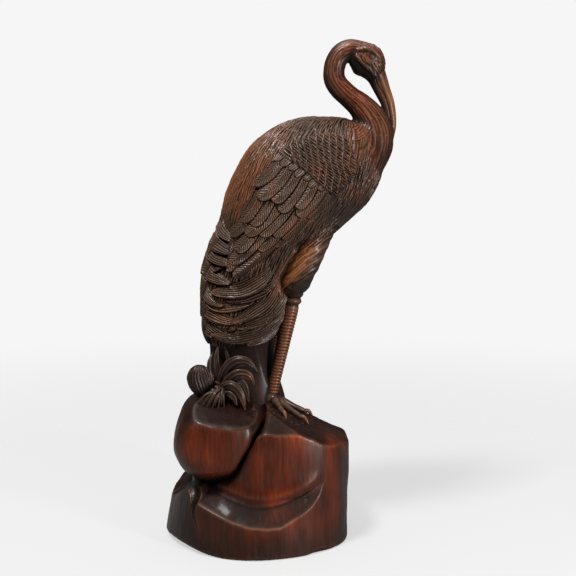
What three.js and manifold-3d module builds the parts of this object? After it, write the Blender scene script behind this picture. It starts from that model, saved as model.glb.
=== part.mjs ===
// A crane carved with its rock from one block of hardwood.
// Millimetres, +Z up. The bird looks along +X and its right flank faces -Y.
// The origin is on the underside, below the middle of the whole carving.
import * as THREE from 'three';
import { mergeVertices } from 'three/addons/utils/BufferGeometryUtils.js';
import Module from 'manifold-3d';

const wasm = await Module();
wasm.setup();

// ---------------------------------------------------------------- driving sizes
const WOOD = { color: 0x4a2114, roughness: 0.38, metalness: 0 };

// Torso and tail: the back line and the belly line in the X-Z plane, from the shoulders down to
// the end of the tail, and the half width of the body at each of these stations.
const BACK = [[55, 341], [38, 341.5], [18, 341], [-2, 334], [-21, 319.5], [-33, 301], [-42, 281],
  [-47.5, 258.5], [-56, 238], [-62, 213.5], [-62.2, 189], [-61.3, 170], [-57, 158.5]];
const BELLY = [[88, 323.5], [87.5, 307.5], [82, 289.5], [72, 272.5], [55, 256.5], [38.5, 241],
  [27, 224.5], [18, 207], [11.5, 190.5], [7.5, 178], [0, 168], [-12.5, 158], [-27.5, 151.5]];
const HALF_WIDTH = [12, 25, 33, 39, 42.5, 43.5, 42.5, 41, 39, 36.5, 33, 27, 17];
const BODY_FULLNESS = 2.3; // exponent of the rounded section
const BODY_RINGS = 17;
const BODY_SIDES = 22;

// Neck, skull and bill: x, z, radius along one centre line in the middle plane.
const NECK = [[66, 303, 14], [74.5, 316, 17.5], [77.3, 329, 15.8], [73.8, 341.2, 12.8], [66.4, 350.6, 10.6],
  [58, 357.4, 9.2], [50.6, 363.7, 8.9], [46, 370.2, 8.7], [45, 377.3, 8.6],
  [46.6, 385.2, 8.5], [51.1, 391.6, 8.4], [57.9, 395, 8.1], [64.3, 393.8, 8.2]];
const SKULL = [[58, 394.5, 7.5], [63.6, 391.4, 10.8], [69.8, 387, 13.6], [75, 381.2, 12],
  [78.6, 375, 8.6], [80.5, 371.5, 5]];
const BILL = [[76, 379, 8], [79.2, 374.2, 7.5], [84, 363.1, 6.2], [88.4, 352.8, 5.2],
  [91, 342.5, 4.2], [91.9, 332.9, 3.3], [91.4, 324.2, 1.8]];
const SKULL_FLATNESS = 0.82; // width over height of the skull
const BILL_FLATNESS = 0.85;
const EYE = { x: 74.6, z: 388.6, y: 8.6, r: 2.6 };

// Legs
const STANCE = 15; // from the middle plane to the middle of a leg
const FAR_LEG_BACK = 5; // the left leg stands this much further back
const THIGH = [[40, 268, 14], [33, 257, 13.8], [26.5, 244, 13], [21.8, 230, 12],
  [17.6, 216, 10.8], [14.8, 205, 8.8], [13.4, 197, 5.5]];
const SHANK_TOP = [13.4, 203];
const SHANK_FOOT = [-6, 113];
const SHANK_R = [6.2, 4.7]; // radius under the joint and above the foot
const SCUTE_PITCH = 9; // ridges down the shank
const SCUTE_DEPTH = 0.7;
const JOINT_RINGS = [[0.055, 7.6], [0.13, 7.1]]; // place down the shank, radius
const FOOT_R = 6;
const TOE_R = [4.2, 1.5];
const TOES = [[29, 12], [27, -26], [20, -78], [16, 168]]; // length, direction in plan (degrees)

// Wing: stations from the shoulder to the wing tip on its upper and its lower edge (x, z).
const WING_UPPER = [[57.5, 322], [40, 327.5], [17, 323], [-3, 307], [-16.5, 287], [-28, 264],
  [-36.5, 244], [-37.5, 226]];
const WING_LOWER = [[64, 307], [59, 292], [50.5, 282.5], [42, 275], [25, 262], [9, 247],
  [-9, 232], [-28, 216]];
const WING_THICK = 4.2;
const SCALE_ROWS = 3; // rows of small feathers on the shoulder
const SCALES_IN_ROW = 5;
const SCALES_END = 3.05; // wing station where the small feathers stop
const QUILL_ROWS = [ // first and last wing station, number of feathers
  { from: 2.7, to: 4.05, count: 6 },
  { from: 3.7, to: 5.1, count: 6 },
  { from: 4.7, to: 6.1, count: 5 },
  { from: 5.6, to: 7.0, count: 4 },
];
const QUILL_LIFT = 2.6; // how far a tip stands over the feather below

// Plumes of the tail on each flank: three points (x, z) of the middle line, half width, height.
const PLUMES = [
  [[-46, 259], [-44, 243], [-28, 235], 7, 3.2],
  [[-54, 242], [-47, 231], [-33, 225], 7, 3],
  [[-58, 222], [-50, 214], [-34, 211], 6.5, 3],
  [[-12, 226], [-28, 208], [-53, 203], 7, 4.6],
  [[-61, 196], [-47, 187], [-27, 182], 6.5, 3],
  [[3, 198], [-6, 180], [-31, 170], 7, 3.4],
  [[-61, 184], [-52, 168], [-29, 161], 6.5, 2.4],
  [[9, 210], [1, 190], [-13, 172], 5, 3],
];
const BACK_PLUMES = { rows: 4, from: 0.56, pitch: 0.1, length: 0.13, height: 2.6 };

// Rock: a round plinth, the main mass set back on it, a boulder at its left and a core behind
// the grooves between them.
const PLINTH = { x: -19, r: 75.5, sides: 20 };
const MASS = { x: -7.5, r: 64.8, sides: 18, top: 122, corner: 7 };
const CORE = { x: -14, r: 54, top: 92, sides: 12 };
const BOULDER = { x: -48.6, y: -19, sides: 9, depth: 1.25, lean: 0.22,
  profile: [[14, 54], [28, 62], [36, 74], [38.5, 87], [35.5, 100], [27, 110], [12, 116]] };
const GROOVE = 3.2; // width of the groove around the boulder
const ROCK_TOP = [ // planes of the top: a point, and how much it falls per mm along X and Y
  { x: -2, y: -12, z: 111.5, dx: 0.46, dy: -0.15 },
  { x: -2, y: -12, z: 111.5, dx: 0.4, dy: 0.28 },
  { x: 28.5, y: -12, z: 97.5, dx: 0.59, dy: -0.05 },
];

// Post of wood under the tail, leaves and needle fan
const POST = [[-29, 96, 37, 26], [-29, 116, 34.5, 23], [-29, 137, 28, 20], [-29.5, 150, 26.5, 20],
  [-30, 162, 27, 21]]; // x, z, half length, half depth
const LEAVES = [ // points x, y, z of the middle line, half width, half thickness
  [[[-44, -26, 127], [-37.5, -32, 144], [-29.5, -34, 149], [-21, -34, 146], [-16, -33, 138]], 5.5, 3.4],
  [[[-42, -31, 129], [-35, -35, 136.5], [-27, -37, 140], [-20.5, -37, 138.5], [-19, -37, 132]], 4.4, 2.2],
  [[[-48, -33, 126], [-40, -38, 131.5], [-33, -41, 128.5], [-29, -42, 121], [-26, -42, 112]], 4.2, 2.2],
  [[[-40, -30, 131], [-32, -35, 134], [-27, -38, 130], [-24.5, -39, 122], [-24, -39, 114]], 3.4, 2],
  [[[-46, -34, 124], [-53, -38, 129], [-60, -40, 126], [-67, -40, 117]], 3.6, 2],
  [[[-44, -24, 126], [-48, -26, 140], [-50, -25, 150], [-48, -22, 157]], 4.6, 2.6],
];
const LEAF_HEART = { x: -44, y: -31, z: 123, r: 9 };
const FAN = { x: -50, y: -21, z: 122, reach: 24, half: 62, aim: 152, ribs: 5, depth: 7 };

// ---------------------------------------------------------------- geometry helpers
const rad = THREE.MathUtils.degToRad;
const mix = THREE.MathUtils.lerp;
const smooth = (t) => THREE.MathUtils.smoothstep(t, 0, 1);

/** A closed solid from a geometry: shared vertices merged, faces pointing out. */
function solid(geometry) {
  let g = geometry.clone();
  g.deleteAttribute('normal');
  g.deleteAttribute('uv');
  g = mergeVertices(g, 1e-4);
  const p = g.attributes.position.array;
  const t = Uint32Array.from(g.index.array);
  let v = 0;
  const a = new THREE.Vector3(), b = new THREE.Vector3(), c = new THREE.Vector3();
  for (let i = 0; i < t.length; i += 3) {
    a.fromArray(p, 3 * t[i]); b.fromArray(p, 3 * t[i + 1]); c.fromArray(p, 3 * t[i + 2]);
    v += a.dot(b.cross(c));
  }
  if (v < 0) for (let i = 0; i < t.length; i += 3) [t[i + 1], t[i + 2]] = [t[i + 2], t[i + 1]];
  return new wasm.Manifold(new wasm.Mesh({
    numProp: 3, vertProperties: Float32Array.from(p), triVerts: t,
  }));
}

/** Skin over rings with equal point counts, closed by a fan at both ends. */
function skin(rings) {
  const n = rings[0].length;
  const pos = [], idx = [];
  for (const ring of rings) for (const q of ring) pos.push(q.x, q.y, q.z);
  for (let i = 0; i + 1 < rings.length; i++) {
    for (let j = 0; j < n; j++) {
      const k = (j + 1) % n, a = i * n + j, b = i * n + k, c = a + n, d = b + n;
      idx.push(a, b, d, a, d, c);
    }
  }
  for (const [r, flip] of [[0, true], [rings.length - 1, false]]) {
    const mid = rings[r].reduce((s, q) => s.add(q), new THREE.Vector3()).divideScalar(n);
    const m = pos.length / 3;
    pos.push(mid.x, mid.y, mid.z);
    for (let j = 0; j < n; j++) {
      const a = r * n + j, b = r * n + (j + 1) % n;
      if (flip) idx.push(m, b, a); else idx.push(m, a, b);
    }
  }
  const g = new THREE.BufferGeometry();
  g.setAttribute('position', new THREE.Float32BufferAttribute(pos, 3));
  g.setIndex(idx);
  return solid(g);
}

/** A round or flattened limb along a curve. Each row: x, y, z, half height, half width. */
function limb(rows, steps, sides, spin = 0) {
  const line = new THREE.CatmullRomCurve3(rows.map((r) => new THREE.Vector3(r[0], r[1], r[2])), false, 'centripetal');
  const size = new THREE.CatmullRomCurve3(rows.map((r, i) => new THREE.Vector3(r[3], r[4], i)), false, 'catmullrom', 0.5);
  const rings = [];
  for (let i = 0; i <= steps; i++) {
    const t = i / steps, c = line.getPoint(t), s = size.getPoint(t);
    const along = line.getTangent(t);
    const side = Math.abs(along.y) > 0.9 ? new THREE.Vector3(0, 0, 1) : new THREE.Vector3(0, 1, 0);
    const up = new THREE.Vector3().crossVectors(along, side).normalize();
    side.crossVectors(up, along).normalize();
    rings.push(Array.from({ length: sides }, (_, j) => {
      const a = spin + (2 * Math.PI * j) / sides;
      return c.clone().addScaledVector(up, s.x * Math.cos(a)).addScaledVector(side, s.y * Math.sin(a));
    }));
  }
  return skin(rings);
}

const inPlane = (rows, flat, y = 0, dx = 0) => rows.map(([x, z, r]) => [x + dx, y, z, r, r * flat]);
const union = (list) => list.reduce((a, b) => a.add(b));
const flatCurve = (rows) => new THREE.SplineCurve(rows.map(([x, z]) => new THREE.Vector2(x, z)));

// ---------------------------------------------------------------- torso
const backLine = flatCurve(BACK), bellyLine = flatCurve(BELLY);
const widthLine = flatCurve(HALF_WIDTH.map((w, i) => [i, w]));
const pow = (v) => Math.sign(v) * Math.abs(v) ** (2 / BODY_FULLNESS);

/** Point on the torso: t from shoulders to tail end, turn 0 on the back, a quarter on +Y. */
function bodyAt(t, turn) {
  const b = backLine.getPoint(t), f = bellyLine.getPoint(t), w = widthLine.getPoint(t).y;
  const c = Math.cos(turn), s = Math.sin(turn), k = (1 - pow(c)) / 2;
  return new THREE.Vector3(mix(b.x, f.x, k), w * pow(s), mix(b.y, f.y, k));
}

/** The same, lifted from the surface by h. */
function overBody(t, turn, h) {
  const e = 2e-3, p = bodyAt(t, turn);
  const a = bodyAt(Math.min(t + e, 1), turn).sub(bodyAt(Math.max(t - e, 0), turn));
  const b = bodyAt(t, turn + e).sub(bodyAt(t, turn - e));
  const n = b.cross(a).normalize();
  return p.addScaledVector(n, h);
}

/** Where a point of the side view (x, z) lies on the torso: [t, turn] on the +Y flank. */
function onFlank(x, z) {
  const off = (t) => {
    const b = backLine.getPoint(t), f = bellyLine.getPoint(t);
    return (f.x - b.x) * (z - b.y) - (f.y - b.y) * (x - b.x);
  };
  let lo = 0, hi = 1;
  const sign = Math.sign(off(0));
  for (let i = 0; i < 40; i++) {
    const m = (lo + hi) / 2;
    if (Math.sign(off(m)) === sign) lo = m; else hi = m;
  }
  const t = (lo + hi) / 2, b = backLine.getPoint(t), f = bellyLine.getPoint(t);
  const k = THREE.MathUtils.clamp(((x - b.x) * (f.x - b.x) + (z - b.y) * (f.y - b.y)) / b.distanceToSquared(f), 0.004, 0.996);
  const c = 1 - 2 * k;
  return [t, Math.acos(Math.sign(c) * Math.abs(c) ** (BODY_FULLNESS / 2))];
}

function torso() {
  const rings = [];
  for (let i = 0; i <= BODY_RINGS; i++) {
    const t = i / BODY_RINGS;
    rings.push(Array.from({ length: BODY_SIDES }, (_, j) => bodyAt(t, (2 * Math.PI * j) / BODY_SIDES)));
  }
  return skin(rings);
}

/**
 * A closed patch that lies over the torso. place(u, v) gives [t, turn], raise(u, v) the height
 * of its face; its underside is sunk below the torso's surface.
 */
function drape(place, raise, nu, nv, sink = 2.5) {
  const pos = [], idx = [], id = (i, j, k) => (k * (nu + 1) + i) * (nv + 1) + j;
  for (const k of [0, 1]) {
    for (let i = 0; i <= nu; i++) {
      for (let j = 0; j <= nv; j++) {
        const [t, turn] = place(i / nu, j / nv);
        overBody(t, turn, k ? -sink : raise(i / nu, j / nv)).toArray(pos, pos.length);
      }
    }
  }
  const quad = (a, b, c, d) => idx.push(a, b, c, a, c, d);
  for (let i = 0; i < nu; i++) {
    for (let j = 0; j < nv; j++) {
      quad(id(i, j, 0), id(i + 1, j, 0), id(i + 1, j + 1, 0), id(i, j + 1, 0));
      quad(id(i, j, 1), id(i, j + 1, 1), id(i + 1, j + 1, 1), id(i + 1, j, 1));
    }
    quad(id(i, 0, 0), id(i, 0, 1), id(i + 1, 0, 1), id(i + 1, 0, 0));
    quad(id(i, nv, 0), id(i + 1, nv, 0), id(i + 1, nv, 1), id(i, nv, 1));
  }
  for (let j = 0; j < nv; j++) {
    quad(id(0, j, 0), id(0, j + 1, 0), id(0, j + 1, 1), id(0, j, 1));
    quad(id(nu, j, 0), id(nu, j, 1), id(nu, j + 1, 1), id(nu, j + 1, 0));
  }
  const g = new THREE.BufferGeometry();
  g.setAttribute('position', new THREE.Float32BufferAttribute(pos, 3));
  g.setIndex(idx);
  return solid(g);
}

// ---------------------------------------------------------------- wing
const upperEdge = flatCurve(WING_UPPER), lowerEdge = flatCurve(WING_LOWER);
const LAST = WING_UPPER.length - 1;

/** Wing place: station a along the wing (0 to 7), b across it (0 upper edge, 1 lower edge). */
function wingAt(a, b, side) {
  const s = THREE.MathUtils.clamp(a / LAST, 0, 1);
  const p = upperEdge.getPoint(s), q = lowerEdge.getPoint(s);
  const [t, turn] = onFlank(mix(p.x, q.x, b), mix(p.y, q.y, b));
  return [t, side * turn];
}

const wingDome = (a, b) => WING_THICK * Math.min(1, 0.25 + 1.1 * Math.sqrt(Math.max(0, Math.sin(Math.PI * THREE.MathUtils.clamp(b, 0, 1)))))
  * (0.45 + 0.55 * smooth(a / 1.2));

/** One feather of the wing. Its free edge stands over its neighbour on the belly side. */
function quill(side, from, to, mid, half, lift, nu) {
  const at = (u) => u ** 0.6, width = (u) => (u < 1 ? 1 : 0.5);
  return drape(
    (u, v) => wingAt(mix(from, to, at(u)), mid + (v - 0.5) * 2 * half * width(u), side),
    (u, v) => wingDome(mix(from, to, at(u)), mid + (v - 0.5) * half) + lift * (0.12 + 0.88 * at(u))
      + (v - 0.35) * 1.1,
    nu, 1);
}

function wing(side) {
  const parts = [drape((u, v) => wingAt(u * LAST * 0.985, v, side),
    (u, v) => wingDome(u * LAST, v) * (u > 0.97 ? 0.5 : 1), 7, 3)];
  const rows = side < 0 ? SCALE_ROWS : SCALE_ROWS - 1, fewer = side < 0 ? 0 : 1;
  for (let r = 0; r < rows; r++) {
    const to = mix(1.1, SCALES_END, r / (rows - 1));
    const n = SCALES_IN_ROW - fewer;
    for (let i = 0; i < n; i++) {
      const mid = (i + (r % 2 ? 0.5 : 0.95)) / (n + 0.5);
      parts.push(quill(side, to - 0.9, to, mid, 0.6 / n, 1.4, 1));
    }
  }
  QUILL_ROWS.forEach(({ from, to, ...row }, r) => {
    const count = row.count - fewer;
    for (let i = 0; i < count; i++) {
      const mid = (i + 0.5) / count;
      const end = to - 0.12 * Math.abs(Math.sin(2.1 * i + r));
      parts.push(quill(side, from, end, mid, 0.6 / count, QUILL_LIFT, 2));
    }
  });
  return union(parts);
}

// ---------------------------------------------------------------- tail
/** A plume: a lens on the torso along a curved middle line given in the side view. */
function plume(side, a, b, c, half, height) {
  const line = new THREE.QuadraticBezierCurve(new THREE.Vector2(...a), new THREE.Vector2(...b), new THREE.Vector2(...c));
  return drape((u, v) => {
    const p = line.getPoint(u), d = line.getTangent(u);
    const w = half * (0.35 + 0.65 * Math.sin(Math.PI * Math.min(1, 0.25 + u * 0.75)) ** 0.8) * (v - 0.5) * 2;
    const [t, turn] = onFlank(p.x - d.y * w, p.y + d.x * w);
    return [t, side * turn];
  }, (u, v) => 0.4 + height * Math.sin(Math.PI * v) * (0.35 + 0.65 * u), 2, 2);
}

function tail() {
  const parts = [];
  for (const side of [-1, 1]) for (const [a, b, c, half, height] of side < 0 ? PLUMES : PLUMES.filter((_, i) => i !== 1 && i !== 6)) parts.push(plume(side, a, b, c, half, height));
  const { rows, from, pitch, length, height } = BACK_PLUMES;
  for (let r = 0; r < rows; r++) {
    const n = r % 2 ? 1 : 2, spread = 0.42;
    for (let i = 0; i < n; i++) {
      const mid = (i - (n - 1) / 2) * 2 * spread, t0 = from + r * pitch;
      parts.push(drape(
        (u, v) => [t0 + length * u, mid + (v - 0.5) * 2.3 * spread * Math.sqrt(Math.max(0.06, 1 - u * u * 0.94))],
        (u, v) => 0.3 + height * (0.2 + 0.8 * u) * (0.5 + 0.5 * Math.sin(Math.PI * v)), 2, 2));
    }
  }
  return union(parts);
}

// ---------------------------------------------------------------- head and legs
function head() {
  const parts = [limb(inPlane(NECK, 1), 17, 8), limb(inPlane(SKULL, SKULL_FLATNESS), 6, 9),
    limb(inPlane(BILL, BILL_FLATNESS), 7, 6)];
  for (const side of [-1, 1]) {
    parts.push(solid(new THREE.IcosahedronGeometry(EYE.r, 0).translate(EYE.x, side * EYE.y, EYE.z)));
  }
  return union(parts);
}

const rockHeight = (x, y) => Math.min(...ROCK_TOP.map((p) => p.z - p.dx * (x - p.x) - p.dy * (y - p.y)));

function leg(side) {
  const y = side * STANCE, dx = side > 0 ? -FAR_LEG_BACK : 0;
  const parts = [limb(inPlane(THIGH, 0.98, y, dx), 6, 9)];
  const length = Math.hypot(SHANK_TOP[0] - SHANK_FOOT[0], SHANK_TOP[1] - SHANK_FOOT[1]);
  const count = Math.round((length * 0.82) / SCUTE_PITCH), rows = [];
  const foot = rockHeight(SHANK_FOOT[0] + dx, y) - 1;
  const put = (t, r) => rows.push([mix(SHANK_TOP[0], SHANK_FOOT[0], t) + dx, y, mix(SHANK_TOP[1], foot, t), r]);
  put(0, 6);
  for (const [t, r] of JOINT_RINGS) { put(t - 0.03, r - 1.2); put(t, r); put(t + 0.035, r - 1.1); }
  for (let i = 0; i <= count; i++) {
    const t = 0.18 + (0.82 * i) / count, r = mix(SHANK_R[0], SHANK_R[1], t);
    put(t, r + SCUTE_DEPTH / 2);
    if (i < count) put(t + (0.82 / count) * 0.72, r - SCUTE_DEPTH / 2);
  }
  const ring = (x, yy, z, r) => Array.from({ length: 6 }, (_, j) => {
    const a = (Math.PI * (2 * j + 1)) / 6;
    return new THREE.Vector3(x + r * Math.cos(a), yy + r * Math.sin(a), z - 0.12 * r * Math.cos(a));
  });
  parts.push(skin(rows.map(([x, yy, z, r]) => ring(x, yy, z, r))));
  parts.push(solid(new THREE.IcosahedronGeometry(FOOT_R, 0).translate(SHANK_FOOT[0] + dx + 1, y, rockHeight(SHANK_FOOT[0] + dx, y) + 1)));
  for (const [reach, angle] of TOES) {
    const a = rad(side > 0 ? -angle : angle), toe = [];
    for (let k = 0; k <= 3; k++) {
      const s = k / 3, x = SHANK_FOOT[0] + dx + 1 + reach * s * Math.cos(a), yy = y + reach * s * Math.sin(a);
      const r = mix(TOE_R[0], TOE_R[1], s);
      toe.push([x, yy, rockHeight(x, yy) + (k === 0 ? 3 : r * 0.9 + 0.8), r + 0.3, r]);
    }
    parts.push(limb(toe, 3, 5));
  }
  return union(parts);
}

// ---------------------------------------------------------------- rock
/** Closed ring stack around a vertical axis: each level gives radius and height by angle. */
function stack(x0, y0, sides, levels) {
  return skin(levels.map((level) => Array.from({ length: sides }, (_, j) => {
    const a = (2 * Math.PI * j) / sides, { r, z, lean = 0, sx = 1, sy = 1 } = level(a);
    return new THREE.Vector3(x0 + lean + sx * r * Math.cos(a), y0 + sy * r * Math.sin(a), z);
  })));
}

/** Removes all that lies beyond a plane through a point, on the side its normal points to. */
function shave(body, point, normal) {
  const size = 300, n = new THREE.Vector3(...normal).normalize();
  const g = new THREE.BoxGeometry(size, size, size).translate(0, 0, size / 2);
  g.applyQuaternion(new THREE.Quaternion().setFromUnitVectors(new THREE.Vector3(0, 0, 1), n));
  return body.subtract(solid(g.translate(...point)));
}

/** Bump of height 1 at an angle (degrees), falling to 0 at the given half spread. */
function near(a, centre, spread) {
  const d = Math.abs(((a - rad(centre) + 3 * Math.PI) % (2 * Math.PI)) - Math.PI) / rad(spread);
  return d >= 1 ? 0 : 0.5 + 0.5 * Math.cos(Math.PI * d);
}

function rock() {
  // Slow waves make the block's outline irregular, like an adzed log.
  const wave = (a, k) => Math.sin(3 * a + k) + 0.6 * Math.sin(5 * a + 2.3 * k);
  const left = (a) => near(a, 184, 62), corner = (a) => near(a, 322, 44);
  const lip = (a) => 31 - 4 * left(a) + 26 * near(a, 322, 50) + 8 * near(a, 90, 90);
  const rise = (a) => 13 + 8 * left(a);
  const plinth = stack(PLINTH.x, 0, PLINTH.sides, [
    (a) => ({ r: PLINTH.r - 1 + 0.5 * wave(a, 1) + 4 * corner(a) - 3.5 * near(a, 240, 55), z: 0 }),
    (a) => ({ r: PLINTH.r + 0.5 * wave(a, 1) + 4 * corner(a) - 1.5 * near(a, 240, 55), z: 3 }),
    (a) => ({ r: PLINTH.r - 1 - 2 * left(a) + 0.8 * wave(a, 2), z: lip(a) - 4 }),
    (a) => ({ r: PLINTH.r - 3.5 - 2 * left(a) + 0.8 * wave(a, 2), z: lip(a) }),
    (a) => ({ r: PLINTH.r - 13 - 2 * left(a), z: lip(a) + rise(a) }),
  ]);
  let mass = stack(MASS.x, 0, MASS.sides, [
    (a) => ({ r: MASS.r - 1.5 + MASS.corner * corner(a), z: 0 }),
    (a) => ({ r: MASS.r + MASS.corner * corner(a), z: 4 }),
    (a) => ({ r: MASS.r + MASS.corner * corner(a) + 0.5 * wave(a, 4), z: 52 }),
    (a) => ({ r: MASS.r + 0.8 * MASS.corner * corner(a), z: 88 }),
    (a) => ({ r: MASS.r - 8, z: MASS.top }),
  ]);
  for (const p of ROCK_TOP) mass = shave(mass, [p.x, p.y, p.z], [p.dx, p.dy, 1]);
  mass = shave(mass, [5, -55, 100], [0.16, -0.72, 0.68]); // facet over the front
  mass = shave(mass, [38, -40, 91], [0.5, -0.5, 0.6]); // scooped facet at the right
  mass = shave(mass, [10, 50, 92], [0.1, 0.7, 0.7]);
  mass = shave(mass, [-50, 38, 92], [-0.75, 0.5, 0.5]);
  const egg = (grow, facet) => {
    let body = stack(BOULDER.x, BOULDER.y, BOULDER.sides, BOULDER.profile.map(([r, z], i) => () => ({
      r: Math.max(r, 0.4) + grow, lean: BOULDER.lean * (z - 87), z: z + (i > 3 ? grow * 0.4 : -grow * 0.6), sx: 1, sy: BOULDER.depth })));
    if (facet) {
      body = shave(body, [-51, -46, 111], [-0.08, -0.6, 0.8]);
      body = shave(body, [-30, -46, 105], [0.3, -0.62, 0.72]);
      body = shave(body, [-78, -30, 104], [-0.75, -0.2, 0.62]);
    }
    return body;
  };
  mass = mass.subtract(egg(GROOVE, false));
  const core = stack(CORE.x, 0, CORE.sides, [
    () => ({ r: CORE.r, z: 3 }), () => ({ r: CORE.r, z: 70 }), () => ({ r: CORE.r - 12, z: CORE.top })]);
  // Slit and hollow in the lower left of the plinth
  const slit = limb([[-72, -62, 53, 5, 5], [-69, -66, 44, 4, 4], [-66, -68, 32, 2.6, 2.6],
    [-58, -74, 6, 2.2, 2.2], [-57, -76, -3, 2.2, 2.2]], 4, 4);
  return union([plinth, mass, egg(0, true), core]).subtract(slit);
}

function supports() {
  const rings = POST.map(([x, z, lx, ly], i) => Array.from({ length: 8 }, (_, j) => {
    const a = (2 * Math.PI * (j + 0.5 * (i % 2))) / 8;
    return new THREE.Vector3(x + lx * Math.cos(a), ly * Math.sin(a), z);
  }));
  const parts = [skin(rings)];
  for (const side of [-1, 1]) {
    for (const [points, half, thick] of side < 0 ? LEAVES : LEAVES.slice(0, 2)) {
      const n = points.length - 1;
      parts.push(limb(points.map(([x, y, z], i) => {
        const s = Math.sin(Math.PI * Math.min(1, 0.22 + (i / n) * 0.7));
        return [x, side < 0 ? y : -y * 0.7, z, thick * (0.6 + 0.4 * s), half * (0.35 + 0.65 * s)];
      }), 4, 5));
    }
    const heart = new THREE.IcosahedronGeometry(LEAF_HEART.r, 0).scale(1.2, 1, 0.9);
    parts.push(solid(heart.translate(LEAF_HEART.x, LEAF_HEART.y * (side < 0 ? 1 : -0.7), LEAF_HEART.z - (side < 0 ? 0 : 3))));
  }
  // Needle fan: ribs side by side in a half disc that leans on the post.
  for (let i = 0; i < FAN.ribs; i++) {
    const a = rad(FAN.aim + FAN.half * (i / (FAN.ribs - 1) - 0.5) * 1.15);
    const reach = FAN.reach * (0.86 + 0.14 * Math.sin((Math.PI * i) / (FAN.ribs - 1)));
    const row = [0, 0.35, 0.8, 1].map((s) => [FAN.x + reach * s * Math.cos(a), FAN.y - 2 * s, FAN.z + reach * s * Math.sin(a),
      mix(2.6, 4.6, s) * (s === 1 ? 0.6 : 1), FAN.depth * (s === 1 ? 0.6 : 1)]);
    parts.push(limb(row, 3, 5));
  }
  return union(parts);
}

// ---------------------------------------------------------------- assembly
const carving = union([torso(), wing(-1), wing(1), tail(), head(), leg(-1), leg(1), supports(), rock()]);

function toGeometry(m) {
  const mesh = m.getMesh();
  const g = new THREE.BufferGeometry();
  g.setAttribute('position', new THREE.Float32BufferAttribute(mesh.vertProperties, 3));
  g.setIndex(Array.from(mesh.triVerts));
  g.computeVertexNormals();
  return g;
}

const crane = new THREE.Mesh(toGeometry(carving), new THREE.MeshStandardMaterial(WOOD));
crane.name = 'crane_carving';

const group = new THREE.Group();
group.add(crane);
export default group;
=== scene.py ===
"""A crane carved with its rock from one block of dark stained hardwood.

The fine surface is made here: the same stations that shape the solid are skinned finely, joined
in a distance field with soft fillets, meshed, and cut with feathers, gouge strokes and facets.
Lengths in the modelling part are millimetres; meshes are made in metres."""
import math
import bpy
import numpy as np
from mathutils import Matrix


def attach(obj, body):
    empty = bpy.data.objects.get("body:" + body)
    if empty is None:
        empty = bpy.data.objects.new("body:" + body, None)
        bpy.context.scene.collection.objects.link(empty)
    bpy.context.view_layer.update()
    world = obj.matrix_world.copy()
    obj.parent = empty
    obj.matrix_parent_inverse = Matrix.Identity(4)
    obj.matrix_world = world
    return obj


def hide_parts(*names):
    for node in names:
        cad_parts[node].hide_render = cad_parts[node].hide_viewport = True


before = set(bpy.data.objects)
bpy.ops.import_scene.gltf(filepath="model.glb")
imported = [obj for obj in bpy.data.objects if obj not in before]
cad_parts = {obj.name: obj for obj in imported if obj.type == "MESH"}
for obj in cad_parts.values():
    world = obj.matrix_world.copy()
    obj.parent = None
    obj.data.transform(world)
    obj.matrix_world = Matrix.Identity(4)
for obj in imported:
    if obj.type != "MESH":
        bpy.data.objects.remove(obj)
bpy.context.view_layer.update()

import openvdb as vdb

RNG = np.random.default_rng(1906)
PI = math.pi

# ------------------------------------------------------------------ sizes (as in the solid)
BACK = [[55, 341], [38, 341.5], [18, 341], [-2, 334], [-21, 319.5], [-33, 301], [-42, 281],
        [-47.5, 258.5], [-56, 238], [-62, 213.5], [-62.2, 189], [-61.3, 170], [-57, 158.5]]
BELLY = [[88, 323.5], [87.5, 307.5], [82, 289.5], [72, 272.5], [55, 256.5], [38.5, 241],
         [27, 224.5], [18, 207], [11.5, 190.5], [7.5, 178], [0, 168], [-12.5, 158], [-27.5, 151.5]]
HALF_WIDTH = [12, 25, 33, 39, 42.5, 43.5, 42.5, 41, 39, 36.5, 33, 27, 17]
FULLNESS = 2.3

NECK = [[66, 303, 14], [74.5, 316, 17.5], [77.3, 329, 15.8], [73.8, 341.2, 12.8], [66.4, 350.6, 10.6],
        [58, 357.4, 9.2], [50.6, 363.7, 8.9], [46, 370.2, 8.7], [45, 377.3, 8.6],
        [46.6, 385.2, 8.5], [51.1, 391.6, 8.4], [57.9, 395, 8.1], [64.3, 393.8, 8.2]]
SKULL = [[58, 394.5, 7.5], [63.6, 391.4, 10.8], [69.8, 387, 13.6], [75, 381.2, 12],
         [78.6, 375, 8.6], [80.5, 371.5, 5]]
BILL = [[76, 379, 8], [79.2, 374.2, 7.5], [84, 363.1, 6.2], [88.4, 352.8, 5.2],
        [91, 342.5, 4.2], [91.9, 332.9, 3.3], [91.4, 324.2, 1.8]]

STANCE, FAR_LEG_BACK = 15.0, 5.0
THIGH = [[40, 268, 14], [33, 257, 13.8], [26.5, 244, 13], [21.8, 230, 12],
         [17.6, 216, 10.8], [14.8, 205, 8.8], [13.4, 197, 5.5]]
SHANK_TOP, SHANK_FOOT, SHANK_R = (13.4, 203.0), (-6.0, 113.0), (7.0, 4.3)
TOE_R = (4.2, 1.5)
TOES = [(29, 10), (28, -27), (22, -64), (16, 168)]

WING_UPPER = [[57.5, 322], [40, 327.5], [17, 323], [-3, 307], [-16.5, 287], [-28, 264],
              [-36.5, 244], [-37.5, 226]]
WING_LOWER = [[64, 307], [59, 292], [50.5, 282.5], [42, 275], [25, 262], [9, 247],
              [-9, 232], [-28, 216]]
WING_THICK, WING_LAST = 4.2, 7.0

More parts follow.
